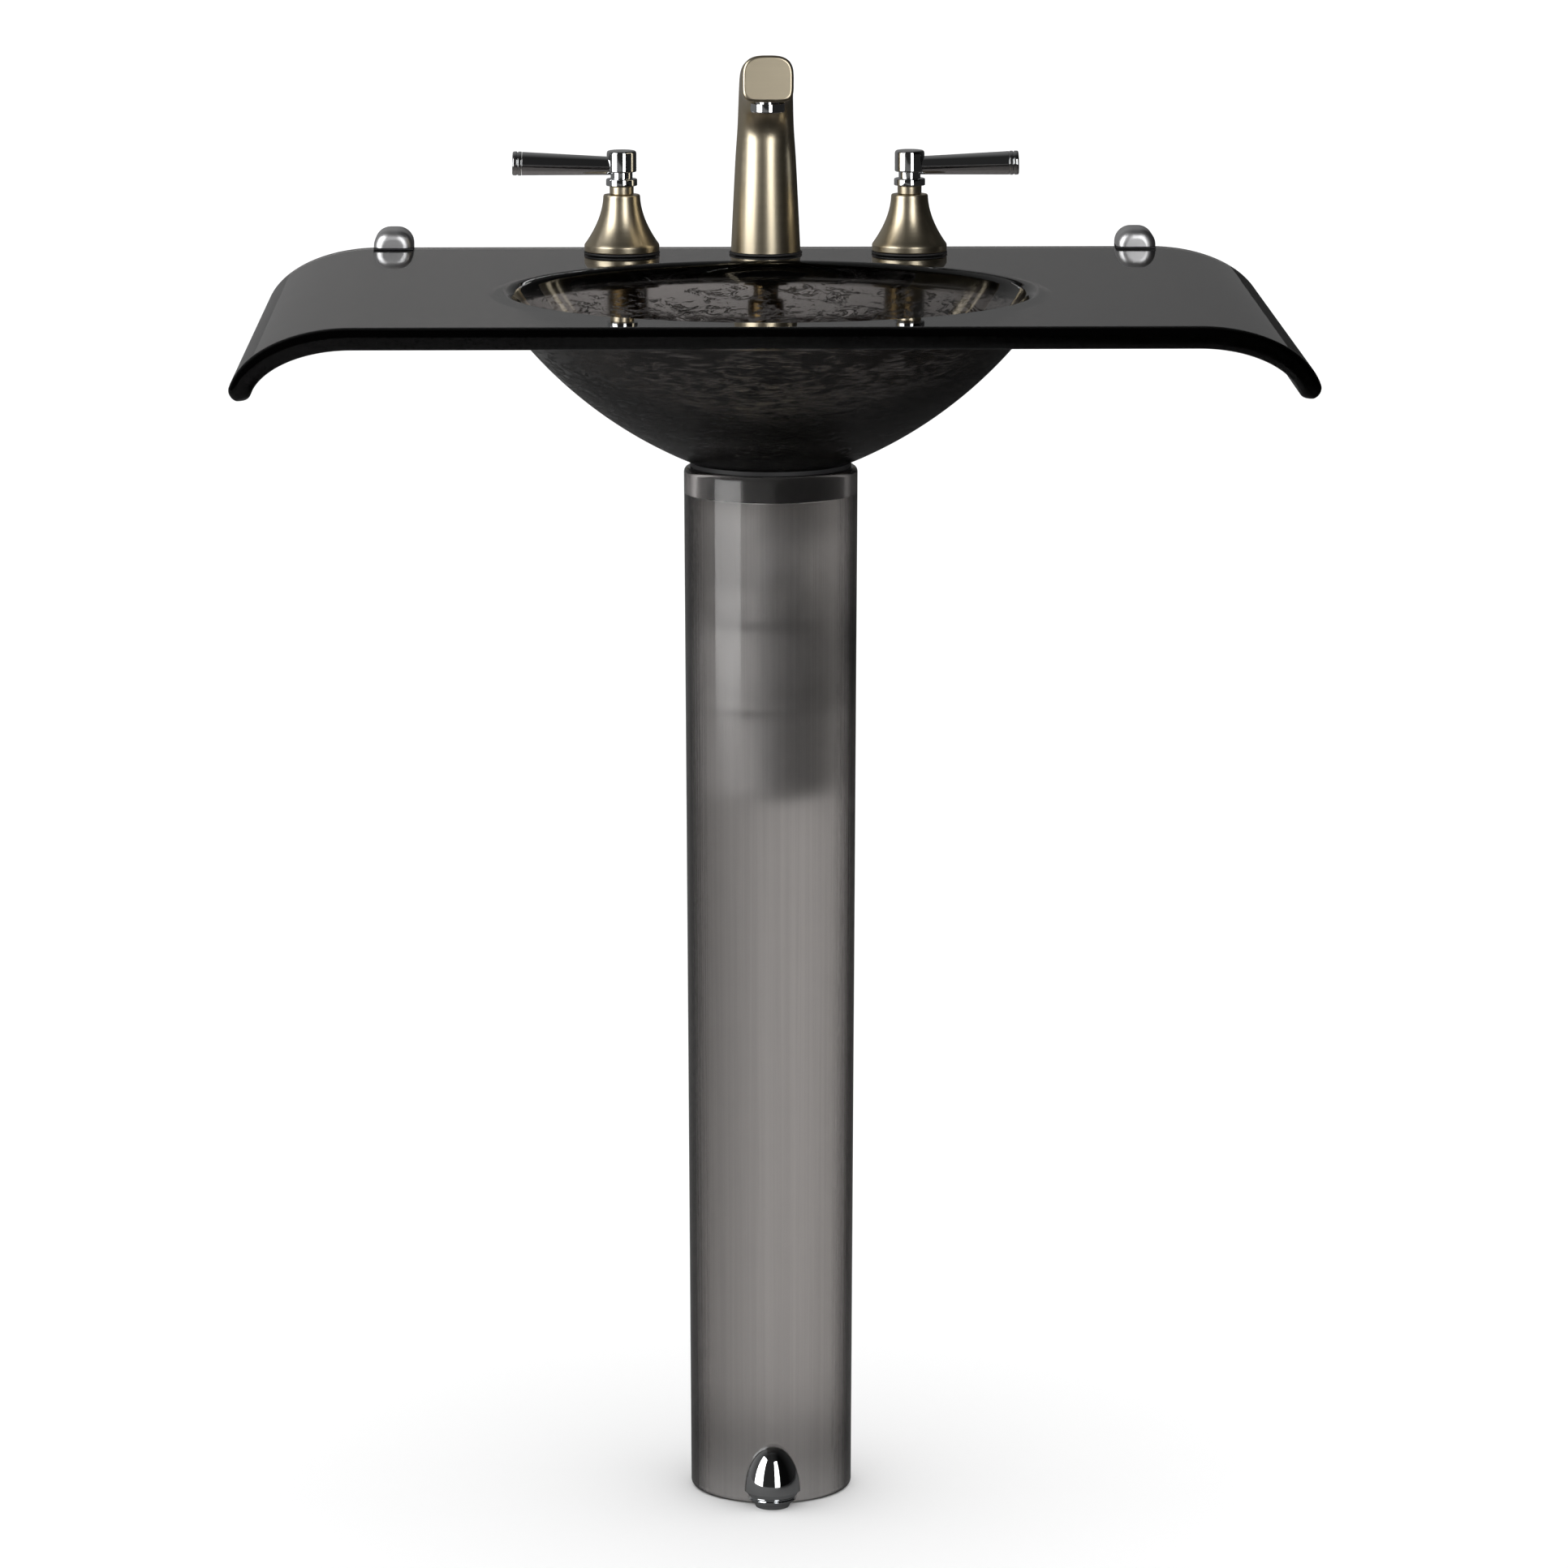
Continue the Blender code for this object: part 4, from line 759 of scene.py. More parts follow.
cap_low, cap_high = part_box("drain_cap")
cap_z = flange_z + GAP
outline = rounded([(0, cap_low.z), (0.003, cap_low.z, 0.0005), (0.003, cap_z), (0.021, cap_z, 0.0004),
                   (0.021, cap_z + 0.0008, 0.0006)])
for step in range(1, 13):
    radius = 0.021 * (1 - step / 12)
    outline.append((radius, cap_high.z - (cap_high.z - cap_z - 0.0012) * (radius / 0.021) ** 2.2))
keep_piece("drain_plug_cap", moved(turned(outline, 128), y=BOWL_Y), polished_chrome,
           "drain_cap", body="drain_plug")
refinish("drain_gasket", black_rubber)


def hex_nut(bore, radius, height, soft):
    """A six-sided nut with its corners chamfered and a round bore, standing on z = 0."""
    nut = turned([(0, 0), (radius, 0), (radius, height), (0, height)], 6)
    dome = turned(rounded([(0, 0), (radius - soft, 0), (radius, soft), (radius, height - soft),
                           (radius - soft, height), (0, height)]), 96)
    nut = combined(nut, dome, "INTERSECT")
    return cut(nut, round_bar(bore, -0.001, height + 0.001, 64))


low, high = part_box("drain_nut")
keep_piece("drain_lock_nut", moved(hex_nut(0.0203, 0.030, high.z - low.z, 0.0015), y=BOWL_Y, z=low.z),
           turned_brass, "drain_nut")


# ---------------------------------------------------------------- the trap and the waste pipe
# Chromed brass tube and a cast bottle trap inside the pedestal: the tailpiece dips into the cup,
# and the arm leaves through the tube's hole to a flange on the wall.

PIPE = 0.016
PIPE_WALL = 0.0015
low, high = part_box("tailpiece_nut")
outline = rounded([(PIPE + GAP, low.z, 0.0005), (0.0245, low.z, 0.002), (0.0245, high.z, 0.001),
                   (0.0203, high.z, 0.0005), (0.0203, low.z + 0.0045), (PIPE + GAP, low.z + 0.0045)])
keep_piece("tail_slip_nut", moved(turned(outline), y=BOWL_Y), polished_chrome, "tailpiece_nut")
low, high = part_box("tailpiece")
tail = grown(RINGS, polished_chrome, bore=PIPE - PIPE_WALL, radius=PIPE, height=high.z - low.z,
             rounding=0.0004)
keep_piece("tail_pipe", moved(tail, y=BOWL_Y, z=low.z), polished_chrome, "tailpiece")

TRAP = 0.030
TRAP_WALL = 0.003
TRAP_NECK = 0.022
TRAP_FOOT = -0.030          # heights from the trap's outlet
TRAP_SHOULDER = 0.026
TRAP_MOUTH = 0.040
fit = PIPE + GAP
ceiling = TRAP_SHOULDER - TRAP_WALL
outline = rounded([(TRAP - TRAP_WALL, TRAP_FOOT), (TRAP, TRAP_FOOT, 0.0004), (TRAP, TRAP_SHOULDER, 0.005),
                   (TRAP_NECK, TRAP_SHOULDER, 0.002), (TRAP_NECK, TRAP_MOUTH, 0.0004),
                   (fit, TRAP_MOUTH, 0.0004), (fit, ceiling), (TRAP - TRAP_WALL, ceiling, 0.002)])
trap = turned(outline, 128)
trap = joined(trap, moved(round_bar(0.0195, TRAP - TRAP_WALL, TRAP + 0.006), turn=BACKWARD))
trap = cut(trap, moved(round_bar(fit, PIPE, TRAP + 0.008), turn=BACKWARD))
keep_piece("trap_bottle", moved(trap, y=BOWL_Y, z=ARM_Z), polished_chrome, "trap_body")
cup_low, cup_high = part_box("trap_cup")
bottom = cup_low.z - ARM_Z
wall = TRAP + GAP
outline = rounded([(0, bottom), (wall - 0.001, bottom, 0.007), (wall - 0.001, -0.036, 0.002),
                   (wall + TRAP_WALL, -0.033, 0.002), (wall + TRAP_WALL, -0.021, 0.001), (wall, -0.021),
                   (wall, -0.031), (TRAP - TRAP_WALL, -0.034), (TRAP - TRAP_WALL, bottom + TRAP_WALL, 0.006),
                   (0, bottom + TRAP_WALL)])
keep_piece("trap_bottle_cup", moved(turned(outline, 128), y=BOWL_Y, z=ARM_Z), polished_chrome,
           "trap_cup")
low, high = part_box("trap_inlet_nut")
ring = grown(RINGS, polished_chrome, bore=fit, radius=(high.x - low.x) / 2, height=high.z - low.z,
             rounding=0.001)
keep_piece("trap_top_nut", moved(ring, y=BOWL_Y, z=low.z), polished_chrome, "trap_inlet_nut")
arm = grown(RINGS, polished_chrome, bore=PIPE - PIPE_WALL, radius=PIPE, height=arm_high.y - arm_low.y,
            rounding=0.0004)
keep_piece("waste_pipe", moved(arm, y=arm_low.y, z=ARM_Z, turn=BACKWARD), polished_chrome,
           "trap_arm")
low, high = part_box("trap_arm_nut")
ring = grown(RINGS, polished_chrome, bore=fit, radius=(high.x - low.x) / 2, height=high.y - low.y,
             rounding=0.001)
keep_piece("waste_pipe_nut", moved(ring, y=low.y, z=ARM_Z, turn=BACKWARD), polished_chrome,
           "trap_arm_nut")
low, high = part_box("wall_flange")
outline = rounded([(fit, -0.012, 0.0005), (fit + 0.003, -0.012, 0.001), (0.023, -0.0065, 0.006),
                   (0.032, -0.0015, 0.001), (0.032, 0, 0.0004), (fit, 0)], 6)
keep_piece("wall_rose", moved(turned(outline, 128), y=high.y, z=ARM_Z, turn=BACKWARD), polished_chrome,
           "wall_flange")


# ---------------------------------------------------------------- the spout
# A hollow brass casting, brushed and nickel plated, that grows out of its round foot into a flat
# nose. A chromed aerator screws into the nose from below, and a gasket lies under the foot.

NICKEL = (0.76, 0.665, 0.49)
brushed_nickel, _ = finish("brushed_nickel", NICKEL, 0.31, 1.0, size=14.0, cloud=5.0, stretch=(1, 1, 70),
                           shade=0.04, gloss=0.06, bump=0.025, depth=0.0001)

SPOUT_COLUMN = 0.0799
SPOUT_BEND = 0.046
SPOUT_TURN = math.radians(84)
SPOUT_REACH = 0.110
AERATOR = 0.01175
AERATOR_IN = 0.018


def spout_line(distance):
    """A point of the spout's middle line in (forward, up), and its lean from the upright."""
    if distance <= SPOUT_COLUMN:
        return (0.0, distance), 0.0
    lean = min((distance - SPOUT_COLUMN) / SPOUT_BEND, SPOUT_TURN)
    forward = SPOUT_BEND * (1 - math.cos(lean))
    up = SPOUT_COLUMN + SPOUT_BEND * math.sin(lean)
    straight = max(distance - SPOUT_COLUMN - SPOUT_BEND * SPOUT_TURN, 0.0)
    return (forward + straight * math.sin(lean), up + straight * math.cos(lean)), lean


def soft_section(width, depth, upper, lower, count):
    """A rounded section, flatter where its power is higher; a power of 2 is an ellipse."""
    points = []
    for step in range(count):
        angle = math.tau * step / count
        power = upper if math.sin(angle) >= 0 else lower
        across = math.copysign(abs(math.cos(angle)) ** (2 / power), math.cos(angle))
        rise = math.copysign(abs(math.sin(angle)) ** (2 / power), math.sin(angle))
        points.append((across * width / 2, rise * depth / 2))
    return points


def smooth_at(stops, place):
    """A size read from a smooth curve through (place, size) stops."""
    last = len(stops) - 1
    index = next((i for i in range(last) if place <= stops[i + 1][0]), last - 1)
    slopes = []
    for here in (index, index + 1):
        before, after = stops[max(here - 1, 0)], stops[min(here + 1, last)]
        slopes.append((after[1] - before[1]) / (after[0] - before[0]))
    (start, first), (end, second) = stops[index], stops[index + 1]
    span = end - start
    t = min(max((place - start) / span, 0.0), 1.0)
    return (first * (1 + 2 * t) * (1 - t) ** 2 + slopes[0] * span * t * (1 - t) ** 2
            + second * t * t * (3 - 2 * t) + slopes[1] * span * t * t * (t - 1))


bent = SPOUT_BEND * (1 - math.cos(SPOUT_TURN))
nose = SPOUT_COLUMN + SPOUT_BEND * SPOUT_TURN + (SPOUT_REACH - bent) / math.sin(SPOUT_TURN)
WIDTHS = [(0, 0.0494), (0.065, 0.0430), (0.094, 0.0394), (0.150, 0.0372), (nose, 0.0355)]
DEPTHS = [(0, 0.0494), (0.065, 0.0440), (0.094, 0.0400), (0.150, 0.0345), (nose, 0.0320)]
UPPERS = [(0, 2.0), (0.065, 2.1), (0.150, 2.6), (nose, 3.0)]
LOWERS = [(0, 2.0), (0.094, 2.1), (0.150, 3.0), (nose, 5.0)]
foot = 0.0021
NOSE_ROUND = 0.0022
places = [foot + (nose - NOSE_ROUND - foot) * step / 72 for step in range(73)]
places += [nose - NOSE_ROUND + NOSE_ROUND * math.sin(math.radians(11.25 * step)) for step in range(1, 9)]
rings = []
for place in places:
    (forward, up), lean = spout_line(place)
    tuck = NOSE_ROUND - math.sqrt(max(NOSE_ROUND ** 2 - max(place - nose + NOSE_ROUND, 0) ** 2, 0))
    width = smooth_at(WIDTHS, place) - 2 * tuck
    depth = smooth_at(DEPTHS, place) - 2 * tuck
    section = soft_section(width, depth, smooth_at(UPPERS, place), smooth_at(LOWERS, place), 96)
    rings.append([(across, rise * math.cos(lean) - forward, up + rise * math.sin(lean))
                  for across, rise in section])
spout = lofted(rings)
outlet_y = AERATOR_IN - SPOUT_REACH
aerator_low, aerator_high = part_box("aerator")
mouth = aerator_low.z - DECK + 0.0065
spout = cut(spout, moved(round_bar(AERATOR + 0.001, mouth - 0.010, mouth + GAP), y=outlet_y),
            moved(round_bar(0.0088, mouth - 0.005, mouth + 0.012), y=outlet_y),
            round_bar(0.0093, -foot, 0.0183))
moved(spout, y=TAP_Y, z=DECK)
keep_piece("spout_casting", spout, brushed_nickel, "spout")

outline = rounded([(0.0075, mouth - 0.0060, 0.0003), (0.0095, mouth - 0.0065, 0.0008),
                   (AERATOR, mouth - 0.0065, 0.0010), (AERATOR, mouth - 0.0002, 0.0004),
                   (0.0085, mouth - 0.0002), (0.0085, mouth + 0.007), (0.0, mouth + 0.007),
                   (0.0, mouth - 0.0045), (0.0075, mouth - 0.0045)])
keep_piece("spout_aerator", moved(turned(outline), y=TAP_Y + outlet_y, z=DECK), polished_chrome,
           "aerator")

for node in ("spout_gasket", "hot_gasket", "cold_gasket", "spout_washer", "hot_washer", "cold_washer"):
    low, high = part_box(node)
    outer = (high.x - low.x) / 2
    bore = 0.0094 if node == "spout_washer" else 0.0153 if "washer" in node else 0.018
    ring = grown(RINGS, black_rubber, bore=bore, radius=outer, height=high.z - low.z, rounding=0.0005)
    moved(ring, x=(low.x + high.x) / 2, y=TAP_Y, z=low.z)
    keep_piece(f"{node}_ring", ring, black_rubber, node)


# ---------------------------------------------------------------- the handles
# Each is a turned nickel bell over its valve, with a chromed hub and lever that turn a quarter turn
# on the valve's stem. A ringed cap closes the lever's end.

BELL_FOOT = 0.007
BELL_TOP = 0.042
BELL_WIDE = 0.0265
BELL_NARROW = 0.013
BELL_WALL = 0.0018
LEVER_UP = 0.062
LEVER_OUT = 0.077
BAR = 0.00625
BAR_END = 0.0083
HUB = 0.0105
HUB_FOOT = 0.058
HUB_TOP = 0.073
HUB_NECK = 0.00775
SKIRT = 0.0483              # the hub's foot ring, just clear of the neck ring
SKIRT_RADIUS = 0.011
STEM_BORE = 0.0043


def bell_radius(height):
    """Outside radius of a bell, which flares towards its foot."""
    share = (BELL_TOP - height) / (BELL_TOP - BELL_FOOT)
    return BELL_NARROW + (BELL_WIDE - 0.0002 - BELL_NARROW) * share ** 1.9


def handle_frame(sign):
    """Puts a handle's or a valve's own axis, lever outwards, at its hole in the deck."""
    turn = Matrix.Rotation(0 if sign > 0 else math.pi, 4, "Z")
    return Matrix.Translation((sign * TAP_X, TAP_Y, DECK)) @ turn


def bar_frame():
    """Turns +Z into the lever's own direction, with its underside level."""
    rise = math.atan2(BAR_END - BAR, LEVER_OUT)
    return Matrix.Translation((0, 0, LEVER_UP)) @ Matrix.Rotation(math.pi / 2 - rise, 4, "Y")


for side, sign in (("hot", -1), ("cold", 1)):
    here = handle_frame(sign)
    heights = [BELL_FOOT + (BELL_TOP - 0.001 - BELL_FOOT) * step / 24 for step in range(25)]
    corners = [(BELL_WIDE - 0.003, foot), (BELL_WIDE, foot, 0.0008), (BELL_WIDE, BELL_FOOT - 0.0008, 0.0005)]
    corners += [(bell_radius(height), height) for height in heights]
    corners += [(bell_radius(BELL_TOP - 0.001) - 0.0005, BELL_TOP, 0.0004), (0.0075, BELL_TOP),
                (0.0075, BELL_TOP - BELL_WALL)]
    corners += [(bell_radius(height) - BELL_WALL, height) for height in reversed(heights[:-1])]
    keep_piece(f"{side}_bell_cover", moved(turned(rounded(corners)), turn=here), brushed_nickel,
               f"{side}_bell")
    ring = grown(RINGS, brushed_nickel, bore=0.0065, radius=0.0085, height=0.0057, rounding=0.0006)
    keep_piece(f"{side}_neck_ring", moved(moved(ring, z=BELL_TOP + GAP), turn=here), brushed_nickel,
               f"{side}_collar")

    outline = rounded([(0, SKIRT), (SKIRT_RADIUS, SKIRT, 0.0006), (SKIRT_RADIUS, SKIRT + 0.005, 0.0012),
                       (HUB_NECK, SKIRT + 0.005, 0.0003), (HUB_NECK, HUB_FOOT, 0.0004),
                       (HUB, HUB_FOOT, 0.0010), (HUB, HUB_TOP, 0.0022), (0, HUB_TOP + 0.0002)])
    hub = turned(outline)
    bar_stop = LEVER_OUT - 0.0067
    bar = turned(rounded([(0, 0), (BAR, 0), (BAR_END, bar_stop, 0.0003), (0, bar_stop)]))
    lever = joined(hub, moved(bar, turn=bar_frame()))
    socket = round_bar(STEM_BORE, bar_stop - 0.008, bar_stop + 0.008, 48)
    lever = cut(lever, moved(socket, turn=bar_frame()), round_bar(STEM_BORE, 0.040, 0.0645, 48))
    keep_piece(f"{side}_lever_bar", moved(lever, turn=here), polished_chrome, f"{side}_lever",
               body=f"{side}_handle")
    start = bar_stop + GAP
    radius = BAR_END + 0.0002
    outline = rounded([(0, start - 0.007), (0.004, start - 0.007), (0.004, start), (radius, start, 0.0004),
                       (radius, start + 0.0022, 0.0003), (radius - 0.0006, start + 0.0026, 0.0002),
                       (radius - 0.0006, start + 0.0030, 0.0002), (radius, start + 0.0034, 0.0003),
                       (radius, LEVER_OUT, 0.0016), (0, LEVER_OUT)])
    tip = moved(turned(outline), turn=bar_frame())
    keep_piece(f"{side}_lever_cap", moved(tip, turn=here), polished_chrome, f"{side}_lever_tip",
               body=f"{side}_handle")
    refinish(f"{side}_set_screw", zinc_steel)
    refinish(f"{side}_stem", turned_brass)


# ---------------------------------------------------------------- the valves and the pipes under the deck
# Threaded brass valve bodies hang through the deck, clamped by hex nuts. Copper pipes lead the hot
# and the cold water across to a brass tee on the spout's shank.

drawn_copper, _ = finish("drawn_copper", (0.78, 0.40, 0.26), 0.22, 1.0, size=60.0, cloud=14.0,
                         shade=0.16, gloss=0.14, bump=0.06, depth=0.0002)
moulded_plastic, _ = finish("moulded_plastic", (0.78, 0.76, 0.70), 0.42, size=300.0, cloud=30.0,
                            shade=0.04, gloss=0.06, bump=0.08, depth=0.0001)


def thread_tree():
    """A screw thread: one ridge that winds up a bar of the given radius."""
    tree, start, end = growing_tree("screw_thread", [
        ("Radius", 0.01), ("Pitch", 0.0015), ("Length", 0.02), ("Ridge", 0.0006), ("Sides", 40),
    ])
    link = tree.links.new
    size = start.outputs
    path = add_node(tree, "GeometryNodeCurveSpiral")
    link(size["Sides"], path.inputs["Resolution"])
    link(math_node(tree, "DIVIDE", size["Length"], size["Pitch"]), path.inputs["Rotations"])
    for socket in ("Start Radius", "End Radius"):
        link(size["Radius"], path.inputs[socket])
    link(size["Length"], path.inputs["Height"])
    ridge = add_node(tree, "GeometryNodeCurvePrimitiveCircle", values={"Resolution": 4})
    link(size["Ridge"], ridge.inputs["Radius"])
    sweep = add_node(tree, "GeometryNodeCurveToMesh", values={"Fill Caps": True})
    link(path.outputs["Curve"], sweep.inputs["Curve"])
    link(ridge.outputs["Curve"], sweep.inputs["Profile Curve"])
    return finish_tree(tree, start, end, sweep.outputs["Mesh"])


THREADS = thread_tree()


def merged(mesh, *others):
    """Several meshes as one, without cutting them."""
    bm = bmesh.new()
    for shape in (mesh, *others):
        bm.from_mesh(shape)
    whole = bpy.data.meshes.new("merged")
    bm.to_mesh(whole)
    bm.free()
    return whole


CROSS_DOWN = 0.057          # all heights are from the deck's top
VALVE = 0.015
VALVE_BORE = 0.0113
VALVE_TOP = 0.022
VALVE_SEAT = 0.0017
VALVE_STEP = -0.068
VALVE_FOOT = -0.085
INLET = 0.010
WATERWAY = 0.006
for side, sign in (("hot", -1), ("cold", 1)):
    here = handle_frame(sign)
    outline = rounded([(WATERWAY, VALVE_FOOT, 0.0004), (INLET, VALVE_FOOT, 0.0006), (INLET, VALVE_STEP),
                       (VALVE, VALVE_STEP, 0.0008), (VALVE, VALVE_TOP, 0.0006), (VALVE_BORE, VALVE_TOP),
                       (VALVE_BORE, VALVE_SEAT), (WATERWAY, VALVE_SEAT)])
    valve = turned(outline)
    boss = moved(round_bar(0.0075, -0.023, -0.010, 64), turn=SIDEWAYS)
    bore = moved(round_bar(0.0053, -0.040, -0.001, 48), turn=SIDEWAYS)
    valve = cut(joined(valve, moved(boss, z=-CROSS_DOWN)), moved(bore, z=-CROSS_DOWN))
    body_thread = grown(THREADS, turned_brass, radius=0.0147, pitch=0.0015, length=0.0205, ridge=0.0005)
    inlet_thread = grown(THREADS, turned_brass, radius=0.0097, pitch=0.0014, length=0.0135, ridge=0.0005)
    valve = merged(valve, moved(body_thread, z=-0.0475), moved(inlet_thread, z=-0.0838))
    keep_piece(f"{side}_valve_body", moved(valve, turn=here), turned_brass, f"{side}_valve")
    low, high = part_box(f"{side}_nut")
    nut = moved(hex_nut(0.0153, 0.0235, high.z - low.z, 0.0012), z=low.z - DECK)
    keep_piece(f"{side}_lock_nut", moved(nut, turn=here), turned_brass, f"{side}_nut")
    refinish(f"{side}_cartridge", moulded_plastic)
    low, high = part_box(f"{side}_crossover")
    pipe = grown(RINGS, drawn_copper, bore=0.004, radius=0.005, height=high.x - low.x, rounding=0.0002,
                 sides=48)
    moved(pipe, x=low.x, y=TAP_Y, z=DECK - CROSS_DOWN, turn=SIDEWAYS)
    keep_piece(f"{side}_cross_pipe", pipe, drawn_copper, f"{side}_crossover")

low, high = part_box("spout_shank")
shank = turned(rounded([(0.0055, low.z), (0.009, low.z, 0.0006), (0.009, high.z), (0.0055, high.z)]))
thread = grown(THREADS, turned_brass, radius=0.0088, pitch=0.0014, length=0.010, ridge=0.00045)
shank = merged(shank, moved(thread, z=DECK - 0.0372))
keep_piece("spout_threaded_shank", moved(shank, y=TAP_Y), turned_brass, "spout_shank")
low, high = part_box("spout_nut")
nut = hex_nut(0.0093, 0.016, high.z - low.z, 0.001)
keep_piece("spout_lock_nut", moved(nut, y=TAP_Y, z=low.z), turned_brass, "spout_nut")
low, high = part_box("spout_tee")
tee = turned(rounded([(0, low.z), (0.013, low.z, 0.0015), (0.013, high.z, 0.0015), (0, high.z)]))
tee = cut(tee, round_bar(0.0093, DECK - 0.0503, DECK), round_bar(0.005, DECK - CROSS_DOWN, DECK, 48),
          moved(round_bar(0.0053, -0.03, 0.03, 48), z=DECK - CROSS_DOWN, turn=SIDEWAYS))
keep_piece("spout_tee_block", moved(tee, y=TAP_Y), turned_brass, "spout_tee")


# ---------------------------------------------------------------- the studio
# A pale floor, two tall soft boxes on it, and a room that is bright to look at but dim in mirrors and through
# glass, and that gets darker to the right. The floor carries painted light: in mirrors its colour is painted
# dim and darker to the right, where seen through glass it is painted darker to the right and towards the
# front, and there it also glows faintly.

floor_mesh = bpy.data.meshes.new("studio_floor")
floor_mesh.from_pydata([(-14, -9, 0), (14, -9, 0), (14, 40, 0), (-14, 40, 0)], [], [(0, 1, 2, 3)])
studio_floor = bpy.data.objects.new("studio_floor", floor_mesh)
bpy.context.collection.objects.link(studio_floor)
pale, paint = finish("pale_floor", (0.90, 0.90, 0.90), 0.8, size=200.0, cloud=3.0, shade=0.01,
                     gloss=0.02, bump=0.02, depth=0.0005)
tree = pale.node_tree
link = tree.links.new
place = add_node(tree, "ShaderNodeTexCoord")
parts = add_node(tree, "ShaderNodeSeparateXYZ")
link(place.outputs["Object"], parts.inputs["Vector"])
# painted shade: seen through glass, the floor's colour is painted darker towards the front, down to 0.6
under = add_node(tree, "ShaderNodeMapRange", values={"From Min": -0.25, "From Max": 0.02, "To Min": 0.60})
link(parts.outputs["Y"], under.inputs["Value"])
# painted shade: in mirrors and through glass, the floor's colour is painted darker to the right
fading = add_node(tree, "ShaderNodeMapRange", values={"From Min": -0.10, "From Max": 0.60, "To Min": 1.0,
                                                     "To Max": 0.12})
link(parts.outputs["X"], fading.inputs["Value"])
# painted reflection: in mirrors the floor shows only 0.13 of its colour, while the camera and diffuse light
# see it evenly pale
ray = add_node(tree, "ShaderNodeLightPath")
indirect = add_node(tree, "ShaderNodeMix", values={"A": 0.13})
link(ray.outputs["Is Transmission Ray"], indirect.inputs["Factor"])
link(under.outputs["Result"], indirect.inputs["B"])
share = add_node(tree, "ShaderNodeMix", values={"B": 1.0})
link(math_node(tree, "MAXIMUM", ray.outputs["Is Camera Ray"], ray.outputs["Is Diffuse Ray"]),
     share.inputs["Factor"])
link(math_node(tree, "MULTIPLY", indirect.outputs["Result"], fading.outputs["Result"]), share.inputs["A"])
shown = add_node(tree, "ShaderNodeVectorMath", {"operation": "SCALE"})
link(paint.inputs["Base Color"].links[0].from_socket, shown.inputs[0])
link(share.outputs["Result"], shown.inputs["Scale"])
link(shown.outputs[0], paint.inputs["Base Color"])
# painted glow: seen through glass the floor also glows, though it is no lamp
paint.inputs["Emission Color"].default_value = (1.0, 1.0, 1.0, 1.0)
link(math_node(tree, "MULTIPLY", ray.outputs["Is Transmission Ray"], 0.35), paint.inputs["Emission Strength"])
floor_mesh.materials.append(pale)



def all_but(name, *unlit):
    """A collection that keeps a light off these objects."""
    others = bpy.data.collections.new(name)
    for shape in unlit:
        others.objects.link(shape)
    for member in others.collection_objects:
        member.light_linking.link_state = "EXCLUDE"
    return others


def soft_box(name, azimuth, distance, width, lit):
    """A tall rectangular light that faces the sink; azimuth 0 is the camera's side, + its right."""
    lamp = bpy.data.lights.new(name, "AREA")
    lamp.shape = "RECTANGLE"
    lamp.size = width
    lamp.size_y = BOX_HEIGHT
    lamp.energy = BOX_BRIGHTNESS * math.pi * width * BOX_HEIGHT
    box = bpy.data.objects.new(name, lamp)
    bpy.context.collection.objects.link(box)
    angle = math.radians(azimuth)
    box.location = (math.sin(angle) * distance, -math.cos(angle) * distance, BOX_HEIGHT / 2)
    box.rotation_euler = (math.pi / 2, 0, angle)
    box.visible_camera = False
    box.light_linking.receiver_collection = lit


BOX_HEIGHT = 3.6
BOX_BRIGHTNESS = 3.2
soft_box("left_soft_box", -60, 3.0, 2.1, all_but("all_but_floor_and_basin", studio_floor, basin_piece))
soft_box("front_soft_box", 20, 3.4, 1.2, all_but("all_but_glass", studio_floor, basin_piece, tube_piece))

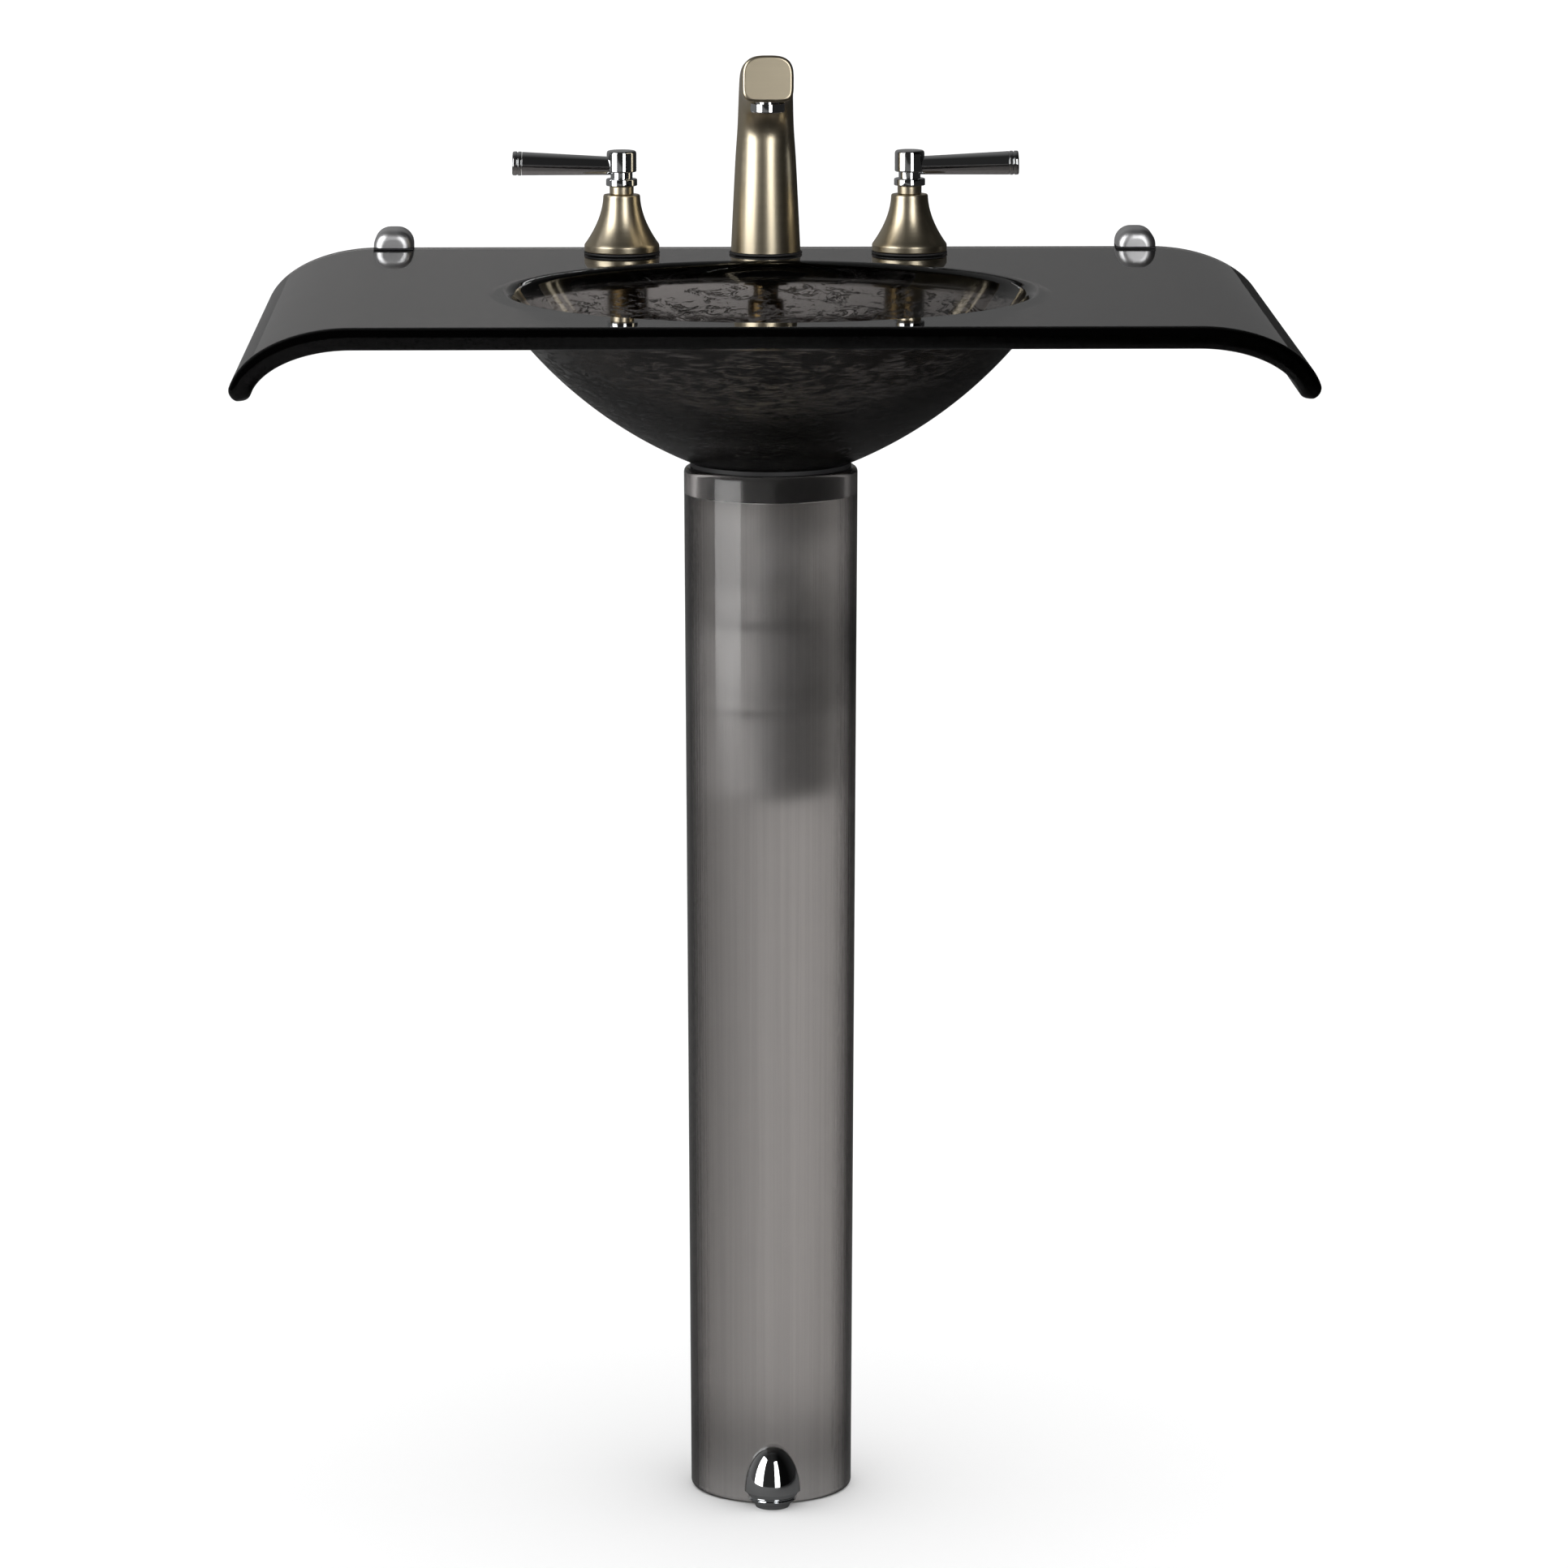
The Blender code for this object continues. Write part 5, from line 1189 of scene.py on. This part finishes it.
world = bpy.data.worlds.new("studio_room")
bpy.context.scene.world = world
world.use_nodes = True
world.cycles.sampling_method = "NONE"
tree = world.node_tree
tree.nodes.clear()
link = tree.links.new
view = add_node(tree, "ShaderNodeTexCoord")
parts = add_node(tree, "ShaderNodeSeparateXYZ")
link(view.outputs["Generated"], parts.inputs["Vector"])
mirrored = add_node(tree, "ShaderNodeMapRange", values={"From Min": -0.3, "From Max": 0.8, "To Min": 0.02,
                                                       "To Max": 0.19})
link(parts.outputs["Y"], mirrored.inputs["Value"])
through = add_node(tree, "ShaderNodeMapRange", values={"From Min": -0.2, "From Max": 0.5, "To Min": 0.03,
                                                      "To Max": 0.85})
link(parts.outputs["Y"], through.inputs["Value"])
fading = add_node(tree, "ShaderNodeMapRange", values={"From Min": -0.05, "From Max": 0.45, "To Min": 1.0,
                                                     "To Max": 0.12})
link(parts.outputs["X"], fading.inputs["Value"])
ray = add_node(tree, "ShaderNodeLightPath")
indirect = add_node(tree, "ShaderNodeMix")
link(ray.outputs["Is Transmission Ray"], indirect.inputs["Factor"])
link(mirrored.outputs["Result"], indirect.inputs["A"])
link(through.outputs["Result"], indirect.inputs["B"])
dim = add_node(tree, "ShaderNodeBackground", values={"Strength": 1.0})
link(math_node(tree, "MULTIPLY", indirect.outputs["Result"], fading.outputs["Result"]), dim.inputs["Color"])
bright = add_node(tree, "ShaderNodeBackground", values={"Color": (1, 1, 1, 1), "Strength": 1.36})
mix = add_node(tree, "ShaderNodeMixShader")
link(math_node(tree, "MAXIMUM", ray.outputs["Is Camera Ray"], ray.outputs["Is Diffuse Ray"]),
     mix.inputs["Fac"])
link(dim.outputs["Background"], mix.inputs[1])
link(bright.outputs["Background"], mix.inputs[2])
output = add_node(tree, "ShaderNodeOutputWorld")
link(mix.outputs["Shader"], output.inputs["Surface"])
bpy.context.scene.view_settings.view_transform = "Standard"

camera_data = bpy.data.cameras.new("camera")
camera_data.lens = 160.7
camera_data.sensor_width = 36.0
camera = bpy.data.objects.new("camera", camera_data)
bpy.context.collection.objects.link(camera)
camera.location = (-0.074, -4.743, 1.383)
camera.rotation_euler = (math.radians(90 - 10.68), 0, math.radians(-1.01))
bpy.context.scene.camera = camera
